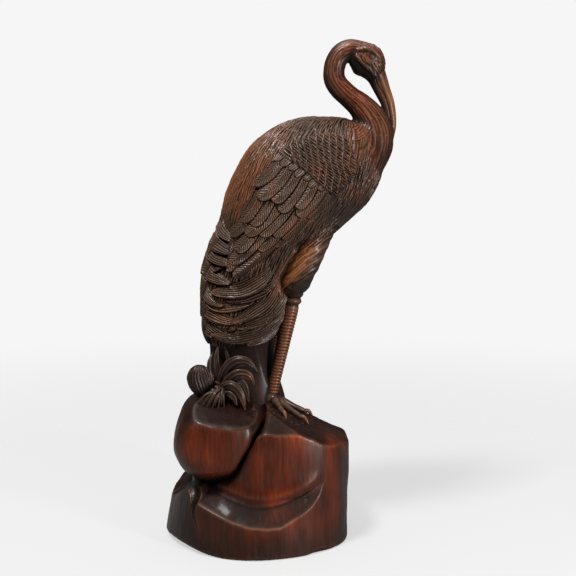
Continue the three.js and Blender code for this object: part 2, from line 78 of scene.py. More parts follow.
ROCK_TOP = [(-2, -12, 111.5, 0.46, -0.15), (-2, -12, 111.5, 0.4, 0.28), (28.5, -12, 97.5, 0.59, -0.05)]
POST = [[-29, 96, 37, 26], [-29, 116, 34.5, 23], [-29, 137, 28, 20], [-29.5, 150, 26.5, 20],
        [-30, 162, 27, 21]]
LEAF_HEART = (-44.0, -31.0, 123.0, 9.0)

# ------------------------------------------------------------------ curves and skins


def spline(rows, t):
    """Catmull-Rom through rows, t from 0 to 1, evenly over the rows."""
    rows = np.asarray(rows, float)
    n = len(rows)
    p = np.clip(np.asarray(t, float), 0, 1) * (n - 1)
    i = np.minimum(p.astype(int), n - 2)
    w = (p - i)[..., None]
    p0, p1 = rows[np.maximum(i - 1, 0)], rows[i]
    p2, p3 = rows[i + 1], rows[np.minimum(i + 2, n - 1)]
    v0, v1 = (p2 - p0) * 0.5, (p3 - p1) * 0.5
    return (2 * p1 - 2 * p2 + v0 + v1) * w**3 + (3 * p2 - 3 * p1 - 2 * v0 - v1) * w**2 + v0 * w + p1


def unit(v):
    return v / np.maximum(np.linalg.norm(v, axis=-1, keepdims=True), 1e-12)


def smoothstep(x, a=0.0, b=1.0):
    x = np.clip((np.asarray(x, float) - a) / (b - a), 0, 1)
    return x * x * (3 - 2 * x)


def near(a, centre, spread):
    """Bump of height 1 at an angle in degrees, 0 at the given half spread."""
    d = np.abs((a - math.radians(centre) + 3 * PI) % (2 * PI) - PI) / math.radians(spread)
    return np.where(d >= 1, 0.0, 0.5 + 0.5 * np.cos(PI * np.minimum(d, 1)))


def skin(rings):
    """Points and quads/triangles of a closed skin over rings (n, m, 3)."""
    n, m, _ = rings.shape
    pts = np.concatenate([rings.reshape(-1, 3), rings[0].mean(0)[None], rings[-1].mean(0)[None]])
    i, j = np.arange(n - 1)[:, None] * m, np.arange(m)[None]
    k = (j + 1) % m
    quads = np.stack([i + j, i + k, i + m + k, i + m + j], -1).reshape(-1, 4)
    j, k = np.arange(m), (np.arange(m) + 1) % m
    tris = np.concatenate([
        np.stack([np.full(m, n * m), k, j], -1),
        np.stack([np.full(m, n * m + 1), (n - 1) * m + j, (n - 1) * m + k], -1)])
    return pts, tris, quads


def limb(rows, steps, sides, shape=None):
    """Rings along a curve. Rows: x, y, z, half height, half width. shape(t, angle) scales them."""
    rows = np.asarray(rows, float)
    t = np.linspace(0, 1, steps + 1)
    c = spline(rows, t)
    e = 1e-3
    along = unit(spline(rows, t + e)[:, :3] - spline(rows, t - e)[:, :3])
    side = np.tile([0.0, 1, 0], (len(t), 1))
    side[np.abs(along[:, 1]) > 0.9] = (0, 0, 1)
    up = unit(np.cross(along, side))
    side = np.cross(up, along)
    a = np.linspace(0, 2 * PI, sides, endpoint=False)
    k = 1.0 if shape is None else shape(t[:, None], a[None])
    ca, sa = np.cos(a)[None] * k, np.sin(a)[None] * k
    return (c[:, None, :3] + up[:, None] * (c[:, 3, None] * ca)[..., None]
            + side[:, None] * (c[:, 4, None] * sa)[..., None])


def in_plane(rows, flat, y=0.0, dx=0.0):
    return [[x + dx, y, z, r, r * flat] for x, z, r in rows]


# ------------------------------------------------------------------ torso
def power(v, p):
    return np.sign(v) * np.abs(v) ** p


def body_at(t, turn):
    b, f, w = spline(BACK, t), spline(BELLY, t), spline(np.array(HALF_WIDTH, float)[:, None], t)[..., 0]
    c, s = power(np.cos(turn), 2 / FULLNESS), power(np.sin(turn), 2 / FULLNESS)
    k = (1 - c) / 2
    return np.stack([b[..., 0] + (f[..., 0] - b[..., 0]) * k, w * s,
                     b[..., 1] + (f[..., 1] - b[..., 1]) * k], -1)


def body_normal(t, turn):
    e = 2e-3
    a = body_at(np.minimum(t + e, 1), turn) - body_at(np.maximum(t - e, 0), turn)
    b = body_at(t, turn + e) - body_at(t, turn - e)
    return unit(np.cross(b, a))


def over_body(t, turn, h):
    return body_at(t, turn) + body_normal(t, turn) * np.asarray(h)[..., None]


def station_of(x, z):
    """Body station t and the share k from back line to belly line of a point of the side view."""
    lo, hi = np.zeros_like(x), np.ones_like(x)

    def off(t):
        b, f = spline(BACK, t), spline(BELLY, t)
        return (f[..., 0] - b[..., 0]) * (z - b[..., 1]) - (f[..., 1] - b[..., 1]) * (x - b[..., 0])

    sign = np.sign(off(lo))
    for _ in range(22):
        m = (lo + hi) / 2
        same = np.sign(off(m)) == sign
        lo, hi = np.where(same, m, lo), np.where(same, hi, m)
    t = (lo + hi) / 2
    b, f = spline(BACK, t), spline(BELLY, t)
    d = f - b
    k = ((x - b[..., 0]) * d[..., 0] + (z - b[..., 1]) * d[..., 1]) / (d**2).sum(-1)
    return t, k


def on_flank(x, z):
    t, k = station_of(x, z)
    return t, np.arccos(power(1 - 2 * np.clip(k, 0.004, 0.996), FULLNESS / 2))


def body_place(p):
    """[t, turn] of points near the torso."""
    t, k = station_of(p[:, 0], p[:, 2])
    w = spline(np.array(HALF_WIDTH, float)[:, None], t)[..., 0]
    return t, np.arctan2(power(np.clip(p[:, 1] / w, -1.5, 1.5), FULLNESS / 2), power(1 - 2 * np.clip(k, -0.2, 1.2), FULLNESS / 2))


# ------------------------------------------------------------------ relief painting
class Relief:
    """Heights over a parametric surface: P points (h, w, 3), N normals."""

    def __init__(self, p, n):
        self.P, self.N = p, n
        self.h = np.zeros(p.shape[:2])
        self.on = np.zeros(p.shape[:2], bool)
        self.coarse = p[::6, ::6]

    def window(self, s, reach):
        c = self.coarse.reshape(-1, 3)
        d = ((c**2).sum(1)[:, None] - 2 * c @ s.T + (s**2).sum(1)[None]).min(1).reshape(self.coarse.shape[:2])
        i, j = np.nonzero(d < (reach + 3) ** 2)
        if not len(i):
            return None
        a, b = max(0, i.min() * 6 - 6), min(self.h.shape[0], i.max() * 6 + 7)
        c, d = max(0, j.min() * 6 - 6), min(self.h.shape[1], j.max() * 6 + 7)
        return slice(a, b), slice(c, d)

    def locate(self, spine, reach, normal_hint=None):
        """Window and, for each of its points, place along the spine (0 to 1) and offset from it."""
        k = 36
        spine = np.asarray(spine, float)
        s = spline(spine, np.linspace(0, 1, k))
        seg = np.linalg.norm(np.diff(s, axis=0), axis=1)
        length = seg.sum()
        at = np.concatenate([[0], np.cumsum(seg)]) / length
        win = self.window(s[:: max(1, k // 12)], reach)
        if win is None:
            return None
        p, n = self.P[win], self.N[win]
        q = p.reshape(-1, 3)
        d2 = (q**2).sum(1)[:, None] - 2 * q @ s.T + (s**2).sum(1)[None]
        i = d2.argmin(1)
        tan = unit(np.gradient(s, axis=0))
        r = q - s[i]
        along = (r * tan[i]).sum(1)
        u = at[i] + along / length
        b = unit(np.cross(n.reshape(-1, 3), tan[i]))
        d = (r * b).sum(1)
        shape = p.shape[:2]
        return win, u.reshape(shape), d.reshape(shape), length

    def feather(self, spine, half, lift=1.6, root=0.15, dome=0.45, tip=0.34, barb=1.5, depth=0.26,
                sweep=0.9, rachis=0.3, rim=0.7, rim_w=0.7, tilt=0.5, waist=0.8, lines=0.0,
                edge=0.28, point=1.0, base=None, strands=0.0, crest=0.0, low=0):
        found = self.locate(spine, half + 1.5)
        if found is None:
            return
        win, u, d, length = found
        shape = (waist + (1 - waist) * np.clip(u / 0.35, 0, 1)) * np.where(
            u > 1 - tip, np.clip(1 - ((u - 1 + tip) / tip) ** 2, 0, 1) ** (0.5 * point), 1.0)
        w = half * shape
        rough = 0.0
        if strands:
            q0 = np.floor(d / np.maximum(w, 1e-3) * strands / 2 + 0.5)
            rough = 0.22 * half * hash2(q0, half * 7.7, 3.0)
        e = np.minimum(w - np.abs(d), (1.0 - u) * length - rough)
        inside = (e > 0) & (u > 0)
        x = d / np.maximum(w, 1e-3)
        h = root + (lift - root) * np.clip(u, 0, 1) ** 1.1 + dome * (1 - x**2) + tilt * d / half
        if barb:
            q = u * length - np.abs(d) * sweep + 0.55 * np.sin(u * length / 2.7 + half * 9 + 0.8 * d) + 0.5 * hash2(np.floor(u * length / barb), half * 5.1, 6.0)
            g = 0.5 - 0.5 * np.cos(2 * PI * q / barb)
            h -= depth * g**1.3 * smoothstep(np.abs(d), 0.25, 0.7)
        if lines:
            q = d + 0.35 * np.sin(u * length / 3.1 + half) * (half > 3)
            g = np.abs(np.cos(PI * q / lines)) ** 1.6
            h -= depth * (1 - g) * 1.0
        if strands:
            q = x * strands / 2 + 0.3 * np.sin(u * length / 4.1 + half * 3) * (1 - x**2)
            deep = 0.45 + 1.1 * noise2(np.floor(q + 0.5) * 5.3, u * length / 5.0, half)
            h -= depth * deep * (1 - np.abs(np.cos(PI * q)) ** 1.4) * smoothstep(u, 0.0, 0.12)
            h += 0.35 * (hash2(np.floor(q), half * 3.1, 4.0) - 0.5)
        if crest:
            h += crest * (0.5 + 0.5 * np.clip(x * low, -1, 1)) ** 1.5 * smoothstep(u, 0.0, 0.3)
        if rachis:
            h += rachis * np.exp(-((d / 0.45) ** 2)) * (1 - 0.6 * u)
        h -= edge * np.exp(-np.clip(e, 0, None) / 0.3)
        m = self.h[win]
        if base is not None:
            h = h + base
        groove = (~inside) & (e > -rim_w) & (u > 0.04) & (u < 1 + rim_w / length)
        if low:
            groove &= d * low > 0
            m[groove] -= rim * (1 + e[groove] / rim_w) * smoothstep(u[groove], 0.05, 0.35)
            blend = smoothstep((x * low)[inside], -1.0, -0.55) * smoothstep(u[inside], 0.0, 0.12)
            m[inside] = m[inside] + (h[inside] - m[inside]) * blend
        else:
            m[groove] -= (rim * (1 + e[groove] / rim_w))
            m[inside] = h[inside]
        self.on[win][inside] = True


# ------------------------------------------------------------------ noise
def hash2(i, j, seed):
    v = np.sin(i * 127.1 + j * 311.7 + seed * 74.7) * 43758.5453
    return v - np.floor(v)


def noise2(x, y, seed=0.0):
    i, j = np.floor(x), np.floor(y)
    u, v = x - i, y - j
    u, v = u * u * (3 - 2 * u), v * v * (3 - 2 * v)
    a, b = hash2(i, j, seed), hash2(i + 1, j, seed)
    c, d = hash2(i, j + 1, seed), hash2(i + 1, j + 1, seed)
    return (a + (b - a) * u) * (1 - v) + (c + (d - c) * u) * v


def noise3(p, scale, seed=0.0):
    q = p / scale
    k = np.floor(q[..., 2])
    f = q[..., 2] - k
    f = f * f * (3 - 2 * f)
    a = noise2(q[..., 0] + k * 17.13, q[..., 1] + k * 9.71, seed)
    b = noise2(q[..., 0] + (k + 1) * 17.13, q[..., 1] + (k + 1) * 9.71, seed)
    return a + (b - a) * f


def strokes(u, v, pitch, length, depth, seed, keen=1.4, fill=0.85):
    """Rows of short gouge cuts: u across them, v along them, in mm."""
    col = np.floor(u / pitch)
    fu = u / pitch - col
    off = hash2(col, 3.0, seed)
    ln = length * (0.75 + 0.5 * hash2(col, 7.0, seed))
    row = np.floor(v / ln + off)
    fv = v / ln + off - row
    amp = 0.55 + 0.45 * hash2(col, row, seed + 1)
    keep = (hash2(col, row, seed + 2) < fill)
    across = np.clip(1 - np.abs(2 * fu - 1), 0, 1) ** keen
    along = np.clip(np.sin(PI * np.clip(fv, 0, 1)), 0, 1) ** 0.45
    return -depth * amp * across * along * keep


# ------------------------------------------------------------------ distance fields
class Field:
    """A signed distance in mm on a lattice; joins closed skins with soft fillets."""

    def __init__(self, lo, hi, h, band):
        self.h, self.band = h, band
        self.lo = np.floor(np.array(lo) / h).astype(int)
        self.hi = np.ceil(np.array(hi) / h).astype(int)
        self.v = np.full(self.hi - self.lo + 1, band, np.float32)
        self.label = np.zeros(self.v.shape, np.uint8)
        self.xf = vdb.createLinearTransform(voxelSize=h)

    def of_mesh(self, mesh):
        pts, tris, quads = mesh
        g = vdb.FloatGrid.createLevelSetFromPolygons(
            np.ascontiguousarray(pts, np.float32), triangles=np.ascontiguousarray(tris, np.uint32),
            quads=np.ascontiguousarray(quads, np.uint32), transform=self.xf, halfWidth=self.band / self.h)
        lo, hi = (np.array(c) for c in g.evalActiveVoxelBoundingBox())
        lo, hi = np.maximum(lo, self.lo), np.minimum(hi, self.hi)
        a = np.empty(hi - lo + 1, np.float32)
        g.copyToArray(a, ijk=tuple(int(c) for c in lo))
        at = tuple(slice(int(p), int(q)) for p, q in zip(lo - self.lo, hi - self.lo + 1))
        return at, a

    def join(self, mesh, k=0.0, label=None):
        at, a = self.of_mesh(mesh)
        v = self.v[at]
        if label is not None:
            self.label[at][a < v] = label
        if k > 0:
            t = np.clip(0.5 + 0.5 * (v - a) / k, 0, 1)
            self.v[at] = v + (a - v) * t - k * t * (1 - t)
        else:
            self.v[at] = np.minimum(v, a)

    def cut(self, mesh, k=0.0):
        at, a = self.of_mesh(mesh)
        v, a = self.v[at], -a
        if k > 0:
            t = np.clip(0.5 + 0.5 * (a - v) / k, 0, 1)
            self.v[at] = v + (a - v) * t + k * t * (1 - t)
        else:
            self.v[at] = np.maximum(v, a)

    def mesh(self):
        g = vdb.FloatGrid(float(self.band))
        g.copyFromArray(self.v, ijk=tuple(int(c) for c in self.lo))
        g.transform = self.xf
        pts, quads = g.convertToQuads(0.0)
        return pts.astype(np.float64), quads.astype(np.int64)

    def label_at(self, p):
        i = np.clip(np.rint(p / self.h).astype(int) - self.lo, 0, np.array(self.v.shape) - 1)
        return self.label[i[:, 0], i[:, 1], i[:, 2]]


def vertex_normals(p, faces):
    a, b = p[faces[:, 2]] - p[faces[:, 0]], p[faces[:, -1]] - p[faces[:, 1]]
    if faces.shape[1] == 3:
        a, b = p[faces[:, 1]] - p[faces[:, 0]], p[faces[:, 2]] - p[faces[:, 0]]
    n = np.cross(a, b)
    out = np.zeros_like(p)
    for c in range(3):
        acc = np.zeros(len(p))
        for k in range(faces.shape[1]):
            acc += np.bincount(faces[:, k], n[:, c], len(p))
        out[:, c] = acc
    return unit(out)


# ------------------------------------------------------------------ the bird
T_TORSO, T_NECK, T_HEAD, T_BILL, T_THIGH, T_SHANK, T_TOE, T_CLAW, T_POST, T_LEAF, T_FAN, T_EYE = range(1, 13)


SCUTE = 2.6
LAP = [  # broad feathered lap over the thigh: x, z, half width in the side view, half thickness, how far out
    (40, 268, 14, 13.7, -3), (35, 257, 13.5, 13, 1), (31.2, 246, 12, 12.4, 6), (27.3, 237, 11.6, 12.2, 9), (23, 229, 11.9, 12.2, 10.5),
    (18.7, 221.4, 12.3, 12.2, 10.5), (15.2, 214, 12.5, 11.8, 8.5), (13.3, 208.5, 12.0, 10.6, 5.5), (13.0, 204.2, 9.6, 8.8, 2.5),
    (13.2, 201.0, 6.2, 6.2, 0.5)]


def rock_height(x, y):
    return min(z - dx * (x - px) - dy * (y - py) for px, py, z, dx, dy in ROCK_TOP)


def shank(y, dx):
    foot = rock_height(SHANK_FOOT[0] + dx, y) - 1
    top = np.array([SHANK_TOP[0] + dx, y, SHANK_TOP[1]])
    end = np.array([SHANK_FOOT[0] + dx, y, foot])
    t = np.linspace(0, 1, 190)
    a = np.linspace(0, 2 * PI, 40, endpoint=False)
    length = np.linalg.norm(end - top)
    r = SHANK_R[0] + (SHANK_R[1] - SHANK_R[0]) * t
    r = r + 0.9 * np.exp(-(((t - 0.026) / 0.024) ** 2)) + 0.8 * np.exp(-(((t - 0.09) / 0.020) ** 2))
    r -= 0.9 * np.exp(-(((t - 0.060) / 0.010) ** 2)) + 0.8 * np.exp(-(((t - 0.125) / 0.014) ** 2))
    r -= 0.6 * t
    scute = 1 - np.abs((t * length / SCUTE) % 1 * 2 - 1) ** 2.6
    scute = (0.95 * (scute - 0.5) * smoothstep(t, 0.15, 0.2))[:, None] * (0.5 + 0.5 * np.cos(a))[None]
    rr = r[:, None] + scute
    c = top + (end - top) * t[:, None]
    return np.stack([c[:, 0, None] + rr * np.cos(a), c[:, 1, None] + rr * np.sin(a),
                     c[:, 2, None] - 0.16 * rr * np.cos(a)], -1)


def torso_rings():
    t = np.linspace(0, 1, 170)[:, None]
    a = np.linspace(0, 2 * PI, 220, endpoint=False)[None]
    return body_at(t + 0 * a, a + 0 * t)


def build_bird(h):
    f = Field((-82, -52, 90), (103, 52, 407), h, 8 * h)
    f.join(skin(torso_rings()), label=T_TORSO)
    for side in (-1, 1):
        y, dx = side * STANCE, (-FAR_LEG_BACK if side > 0 else 0.0)
        # the tail stands out over the lap and the knee
        room = [[30 + dx, side * 40, 246, 5, 6]]
        room += [[x + dx, side * (STANCE + o + 12.5), z, r * 1.04, 12] for x, z, r, w, o in LAP[3:8]]
        room += [[12.5 + dx, side * 31, 203, 9.6, 13], [12 + dx, side * 29.5, 196, 7.4, 12.5], [10 + dx, side * 28.5, 188, 7.2, 12],
                 [8 + dx, side * 28, 180, 6.0, 11], [6 + dx, side * 27, 172, 2.5, 6]]
        f.cut(skin(limb(room, 70, 48)), 2.2)
        rows = [[x + dx, side * (STANCE + o), z, r, w] for x, z, r, w, o in LAP]
        f.join(skin(limb(rows, 60, 56)), 3.2, T_THIGH)
    f.join(skin(limb(in_plane(NECK, 1), 150, 56)), 4.5, T_NECK)
    f.join(skin(limb(in_plane(SKULL, 0.82), 60, 52)), 1.6, T_HEAD)
    crown = [[56, 394.6, 7.6], [62, 393.4, 8.6], [67.6, 391.2, 10.4], [73.4, 387.2, 11.6], [76.6, 382.6, 10.6], [78.6, 377.5, 7.5]]
    f.join(skin(limb(in_plane(crown, 0.84), 50, 44)), 1.5, T_HEAD)
    bill = limb(in_plane(BILL, 0.85), 110, 40,
                lambda t, a: 1 + 0.06 * np.cos(2 * a) - 0.10 * np.exp(-((np.abs(np.abs(a - PI) - PI / 2) / 0.16) ** 2)))
    f.join(skin(bill), 1.2, T_BILL)
    for side in (-1, 1):
        brow = limb([[63.5, side * 7.6, 393.6, 1.4, 1.3], [69, side * 9.3, 394.2, 1.9, 1.7],
                     [75.5, side * 9.4, 392.4, 1.8, 1.7], [80.4, side * 7.8, 387.3, 1.4, 1.3],
                     [81.8, side * 6.2, 381.5, 1.0, 1.0]], 36, 14)
        f.join(skin(brow), 1.2, T_HEAD)
        socket = limb([[70.0, side * 12.8, 389.6, 1.7, 1.7], [74.6, side * 13.8, 388.6, 3.8, 3.1],
                       [79.0, side * 12.2, 386.0, 1.7, 1.7]], 24, 20)
        f.cut(skin(socket), 1.6)
        lid = limb([[74.6 + 3.3 * math.cos(b), side * (9.4 - 0.35 * math.cos(b)), 388.6 + 2.9 * math.sin(b), 0.7, 0.8]
                    for b in np.linspace(0, 2 * PI, 13)], 48, 10)
        f.join(skin(lid), 0.35, T_HEAD)
        ball = limb([[74.8 + 0.15 * math.sin(b), side * (8.6 + 2.2 * math.sin(b)), 388.3, max(0.15, 2.1 * math.cos(b)), max(0.15, 2.1 * math.cos(b))]
                     for b in np.linspace(-PI / 2, PI / 2, 9)], 20, 20)
        f.join(skin(ball), 0.0, T_EYE)
        jaw = limb([[62.2, side * 8.0, 389.5, 1.2, 1.2], [65, side * 9.4, 385.4, 1.7, 1.6], [68.8, side * 9.4, 381.2, 1.9, 1.8],
                    [74, side * 8.0, 377.6, 1.8, 1.7], [78.6, side * 6.0, 371.5, 1.3, 1.2]], 34, 12)
        f.join(skin(jaw), 1.2, T_HEAD)
    for side in (-1, 1):
        y, dx = side * STANCE, (-FAR_LEG_BACK if side > 0 else 0.0)
        f.join(skin(shank(y, dx)), 0.9, T_SHANK)
        fx = SHANK_FOOT[0] + dx + 1
        foot = limb([[fx, y, rock_height(fx, y) + 1 + 6 * math.sin(b), max(0.3, 6 * math.cos(b)), max(0.3, 6 * math.cos(b))]
                     for b in np.linspace(-PI / 2, PI / 2, 9)], 16, 20)
        f.join(skin(foot), 2.0, T_TOE)
        for n, (reach, angle) in enumerate(TOES):
            a = math.radians(-angle if side > 0 else angle)
            toe = []
            for k in range(7):
                s = k / 6
                x, yy = fx + reach * s * math.cos(a), y + reach * s * math.sin(a)
                r = 0.82 * (TOE_R[0] + (TOE_R[1] - TOE_R[0]) * s)
                knuckle = 1 + 0.12 * math.cos(2 * PI * s * 2.5)
                toe.append([x, yy, rock_height(x, yy) + (3 if k == 0 else r * 0.9 + 0.8), (r + 0.3) * knuckle, r * knuckle])
            f.join(skin(limb(toe, 40, 18)), 1.2, T_TOE)
            x0, y0, z0 = toe[-1][:3]
            c, s_ = math.cos(a), math.sin(a)
            claw = [[x0 - 2 * c, y0 - 2 * s_, z0 + 0.6, 1.9, 1.7], [x0 + 1.5 * c, y0 + 1.5 * s_, z0 + 0.7, 1.7, 1.4],
                    [x0 + 4.5 * c, y0 + 4.5 * s_, rock_height(x0 + 4.5 * c, y0 + 4.5 * s_) + 0.9, 0.9, 0.8],
                    [x0 + 6 * c, y0 + 6 * s_, rock_height(x0 + 6 * c, y0 + 6 * s_) + 0.2, 0.3, 0.3]]
            f.join(skin(limb(claw, 16, 12)), 0.4, T_CLAW)
    return f


def build_support(f):
    """Post, leaves and needle fan, joined to the bird's field."""
    t = np.linspace(0, 1, 60)
    rows = spline(POST, t)
    a = np.linspace(0, 2 * PI, 120, endpoint=False)
    flat = PI / 4.5  # facets around the post
    k = 1 / np.cos(((a[None] + 0.5 * t[:, None]) % flat) - flat / 2)
    k = 1 + 0.3 * (k / (1 / math.cos(flat / 2)) - 1)
    rings = np.stack([rows[:, 0, None] + rows[:, 2, None] * np.cos(a) * k, rows[:, 3, None] * np.sin(a) * k,
                      rows[:, 1, None] + 0 * a], -1)
    f.join(skin(rings), 1.6, T_POST)
    leaves = [  # middle line, half width in the side view, half thickness, strands
        ([[-46, -27, 122], [-42.5, -31, 136], [-37, -33, 145], [-29.5, -34.5, 148.6], [-22, -34.5, 146.5], [-16, -33, 139.5]], 5.6, 2.6, 6),
        ([[-44, -32, 125], [-39, -36, 133.5], [-32.5, -38.5, 138.6], [-26, -39, 139.2], [-21, -38.6, 136], [-19, -38, 130]], 4.2, 2.6, 5),
        ([[-48, -33, 123], [-42, -38, 129.5], [-35.5, -41, 130.6], [-30.0, -42.5, 126], [-27.0, -43.0, 119], [-25.2, -42.5, 110.5]], 3.6, 2.6, 4),
        ([[-41, -31, 129], [-34, -36, 134], [-28, -39, 132.5], [-24.4, -40, 126.5], [-22.8, -40, 117]], 3.0, 2.4, 3),
        ([[-44, -34, 121], [-39, -39, 123.6], [-34.5, -41.5, 121], [-32.0, -42, 114.5]], 2.6, 2.2, 3),
        ([[-45, -25, 126], [-47.5, -27, 138], [-49.0, -26, 149], [-48, -23, 158]], 2.9, 2.8, 3),
        ([[-40, -26, 128], [-39, -26, 140], [-40, -25, 150], [-43, -22, 158]], 2.2, 2.4, 2),
        ([[-50, -26, 124], [-54, -28, 134], [-55, -26, 145], [-52, -22, 154]], 2.2, 2.4, 2),
    ]
    for side in (-1, 1):
        for points, half, thick, n in (leaves if side < 0 else leaves[:3] + leaves[4:6]):
            m = len(points) - 1
            rows = []
            for i, (x, y, z) in enumerate(points):
                s = math.sin(PI * min(1, 0.20 + (i / m) * 0.79))
                rows.append([x, y if side < 0 else -y * 0.7, z, half * (0.14 + 0.86 * s), thick * (0.3 + 0.6 * s)])
            rows = np.array(rows)
            body = rows * [1, 1, 1, 0.8, 0.62]
            f.join(skin(limb(body, 50, 40)), 0.3, T_LEAF)
            t = np.linspace(0, 1, 9)
            c = spline(rows, t)
            tan = unit((spline(rows, t + 1e-3) - spline(rows, t - 1e-3))[:, [0, 2]])
            for k in range(n):
                o = (k + 0.5) / n * 2 - 1
                w = c[:, 3] * 0.92 * o
                strand = np.stack([c[:, 0] - tan[:, 1] * w, c[:, 1] + (-1 if side < 0 else 1) * (c[:, 4] * 0.85 * math.sqrt(1 - o * o * 0.8) - 0.4 * (k % 2)),
                                   c[:, 2] + tan[:, 0] * w, 0.40 + 0.62 * c[:, 3] / half, 0.9 + 0 * t], -1)
                f.join(skin(limb(strand[: 9 - (k % 2)], 40, 12)), 0.15, T_LEAF)
        x, y, z, r = LEAF_HEART
        y, z = (y, z) if side < 0 else (-y * 0.7, z - 3)
        rng = np.random.default_rng(5)
        for i in range(5):
            b, c = rng.uniform(0, 2 * PI), rng.uniform(-0.2, 1.0)
            v = np.array([math.cos(b) * math.cos(c), -abs(math.sin(b)) * math.cos(c) * (1 if side < 0 else -1), math.sin(c)])
            p0, p1 = np.array([x, y, z]), np.array([x, y, z]) + v * r * rng.uniform(0.9, 1.25)
            mid = (p0 + p1) / 2 + [0, 0, 1.5]
            f.join(skin(limb([[*p0, 3.0, 3.0], [*mid, 2.0, 1.9], [*p1, 0.7, 0.7]], 12, 16)), 0.8, T_LEAF)
        # thin needles that hang from the heart to the lower left, and small beads round it
        for i in range(11):
            e = i / 10
            tip = np.array([-66 + 24 * e, (-40.5 - 3.5 * math.sin(PI * e)), 112.5 - 1.5 * e + 3.0 * (i % 2)])
            p0 = np.array([-47 + 4 * e, -38.0, 126.5 + 1.5 * math.sin(5.1 * i)])
            mid = (p0 + tip) / 2 + [0, -2.5, 3.8 - 2.0 * e]
            row = np.array([[*p0, 0.8, 0.8], [*mid, 0.85, 0.8], [*tip, 0.5, 0.5]])
            if side > 0:
                row[:, 1] *= -0.7
            f.join(skin(limb(row, 16, 12)), 0.25, T_LEAF)
        for i in range(7):
            b = 2 * PI * i / 7
            c = np.array([x - 3 + 4.6 * math.cos(b), y - 7.5 if side < 0 else y + 5, z + 1.0 + 4.4 * math.sin(b)])
            bead = limb([[*(c + [0, 0, 1.7 * math.sin(q)]), max(0.1, 1.7 * math.cos(q)), max(0.1, 1.7 * math.cos(q))]
                         for q in np.linspace(-PI / 2, PI / 2, 7)], 12, 14)
            f.join(skin(bead), 0.3, T_LEAF)
    # needle fan: a ribbed cushion
    fan = [[-55.0, -22, 117.0, 3, 4], [-57.5, -24, 122.5, 8.0, 8], [-60, -25.5, 128.5, 10.8, 9.5], [-61.8, -25.5, 135, 10.8, 9],
           [-62, -25, 140, 8.0, 7], [-61.6, -24, 143.5, 3, 3]]
    f.join(skin(limb(fan, 60, 220, lambda t, a: 1 + 0.07 * (1 - 2 * np.abs(np.sin(13 * a))))), 0.4, T_FAN)
# ------------------------------------------------------------------ feathers and strokes on the torso
PLUMES = [  # middle line (side view, root to tip), half width, height
    ([(-60, 257), (-50, 245), (-40, 239), (-27, 235.5)], 7.0, 2.8), ([(-48, 260), (-42, 250), (-34, 243)], 4.5, 2.4),
    ([(-61, 242), (-52, 234), (-43, 229), (-33, 225)], 6.0, 2.4), ([(-63, 228), (-54, 219), (-46, 214.5), (-36, 210.5)], 6.0, 2.4),
    ([(-63, 213), (-57, 203), (-50, 196.5), (-42, 192.5)], 5.6, 2.2), ([(-61, 201), (-51, 193.5), (-38, 192), (-18, 196.5)], 4.4, 2.0),
    ([(-62, 191), (-53, 185.5), (-41, 182), (-27, 179)], 5.2, 2.2), ([(-62, 179), (-54, 172.5), (-43, 168), (-29, 163)], 5.6, 2.2),
    ([(-3, 224), (-16, 212.5), (-32, 206), (-52, 203.5)], 6.6, 3.4), ([(3, 215), (-6, 203), (-16, 192), (-37, 179)], 5.6, 2.6),
    ([(7, 205), (-2, 190), (-14, 181), (-33, 175)], 5.2, 2.4), ([(10, 200), (0, 183), (-14, 173.5), (-34, 167.5), (-53, 170)], 6.0, 2.8),
    ([(13, 191), (4, 176), (-9, 166), (-26, 161)], 5.0, 2.2), ([(0, 214), (-12, 205.5), (-26, 200), (-41, 197)], 4.6, 2.0),
    ([(14, 216), (9, 203), (1, 190), (-8, 181)], 3.8, 1.8), ([(-33, 243), (-42, 229), (-50, 219)], 4.2, 1.6),
    ([(-20, 214), (-34, 200), (-46, 190)], 4.4, 1.4), ([(-8, 196), (-22, 186), (-40, 172)], 4.6, 1.6),
]


def groove(R, t0, a0, aim, length, width, depth, bend):
    """Single gouge cuts: places on the torso, directions in space, and size of each."""
    nt, na = R.h.shape
    e = 2e-3
    pt = (body_at(np.minimum(t0 + e, 1), a0) - body_at(np.maximum(t0 - e, 0), a0)) / (2 * e)
    pa = (body_at(t0, a0 + e) - body_at(t0, a0 - e)) / (2 * e)
    n = unit(np.cross(pa, pt))
    aim = unit(aim - (aim * n).sum(-1, keepdims=True) * n)
    b = np.cross(n, aim)
    lt, la = np.linalg.norm(pt, axis=1), np.linalg.norm(pa, axis=1)
    ptd, ptb, pad, pab = (pt * aim).sum(1), (pt * b).sum(1), (pa * aim).sum(1), (pa * b).sum(1)
    ci, cj = t0 * (nt - 1), (a0 + PI) / (2 * PI) * (na - 1)
    for m in range(len(t0)):
        half = length[m] / 2
        di = int(half * (nt - 1) / max(lt[m], 30)) + 2
        dj = int(min(half * (na - 1) / (2 * PI) / max(la[m], 3), na / 6)) + 2
        i0, i1 = max(0, int(ci[m]) - di), min(nt, int(ci[m]) + di + 1)
        j = np.arange(int(cj[m]) - dj, int(cj[m]) + dj + 1)
        ti = (np.arange(i0, i1)[:, None] - ci[m]) / (nt - 1)
        aj = ((j - cj[m]) / (na - 1) * 2 * PI)[None]
        along, across = ti * ptd[m] + aj * pad[m], ti * ptb[m] + aj * pab[m]
        across = across + bend[m] * (along / half) ** 2
        k = np.clip(1 - (along / half) ** 2, 0, 1) ** 0.6
        w = width[m] * (0.45 + 0.55 * k)
        g = k * (np.exp(-((across / w) ** 2)) - 0.35 * np.exp(-(((np.abs(across) - 1.9 * w) / w) ** 2)))
        R.h[i0:i1, j % na] -= depth[m] * g


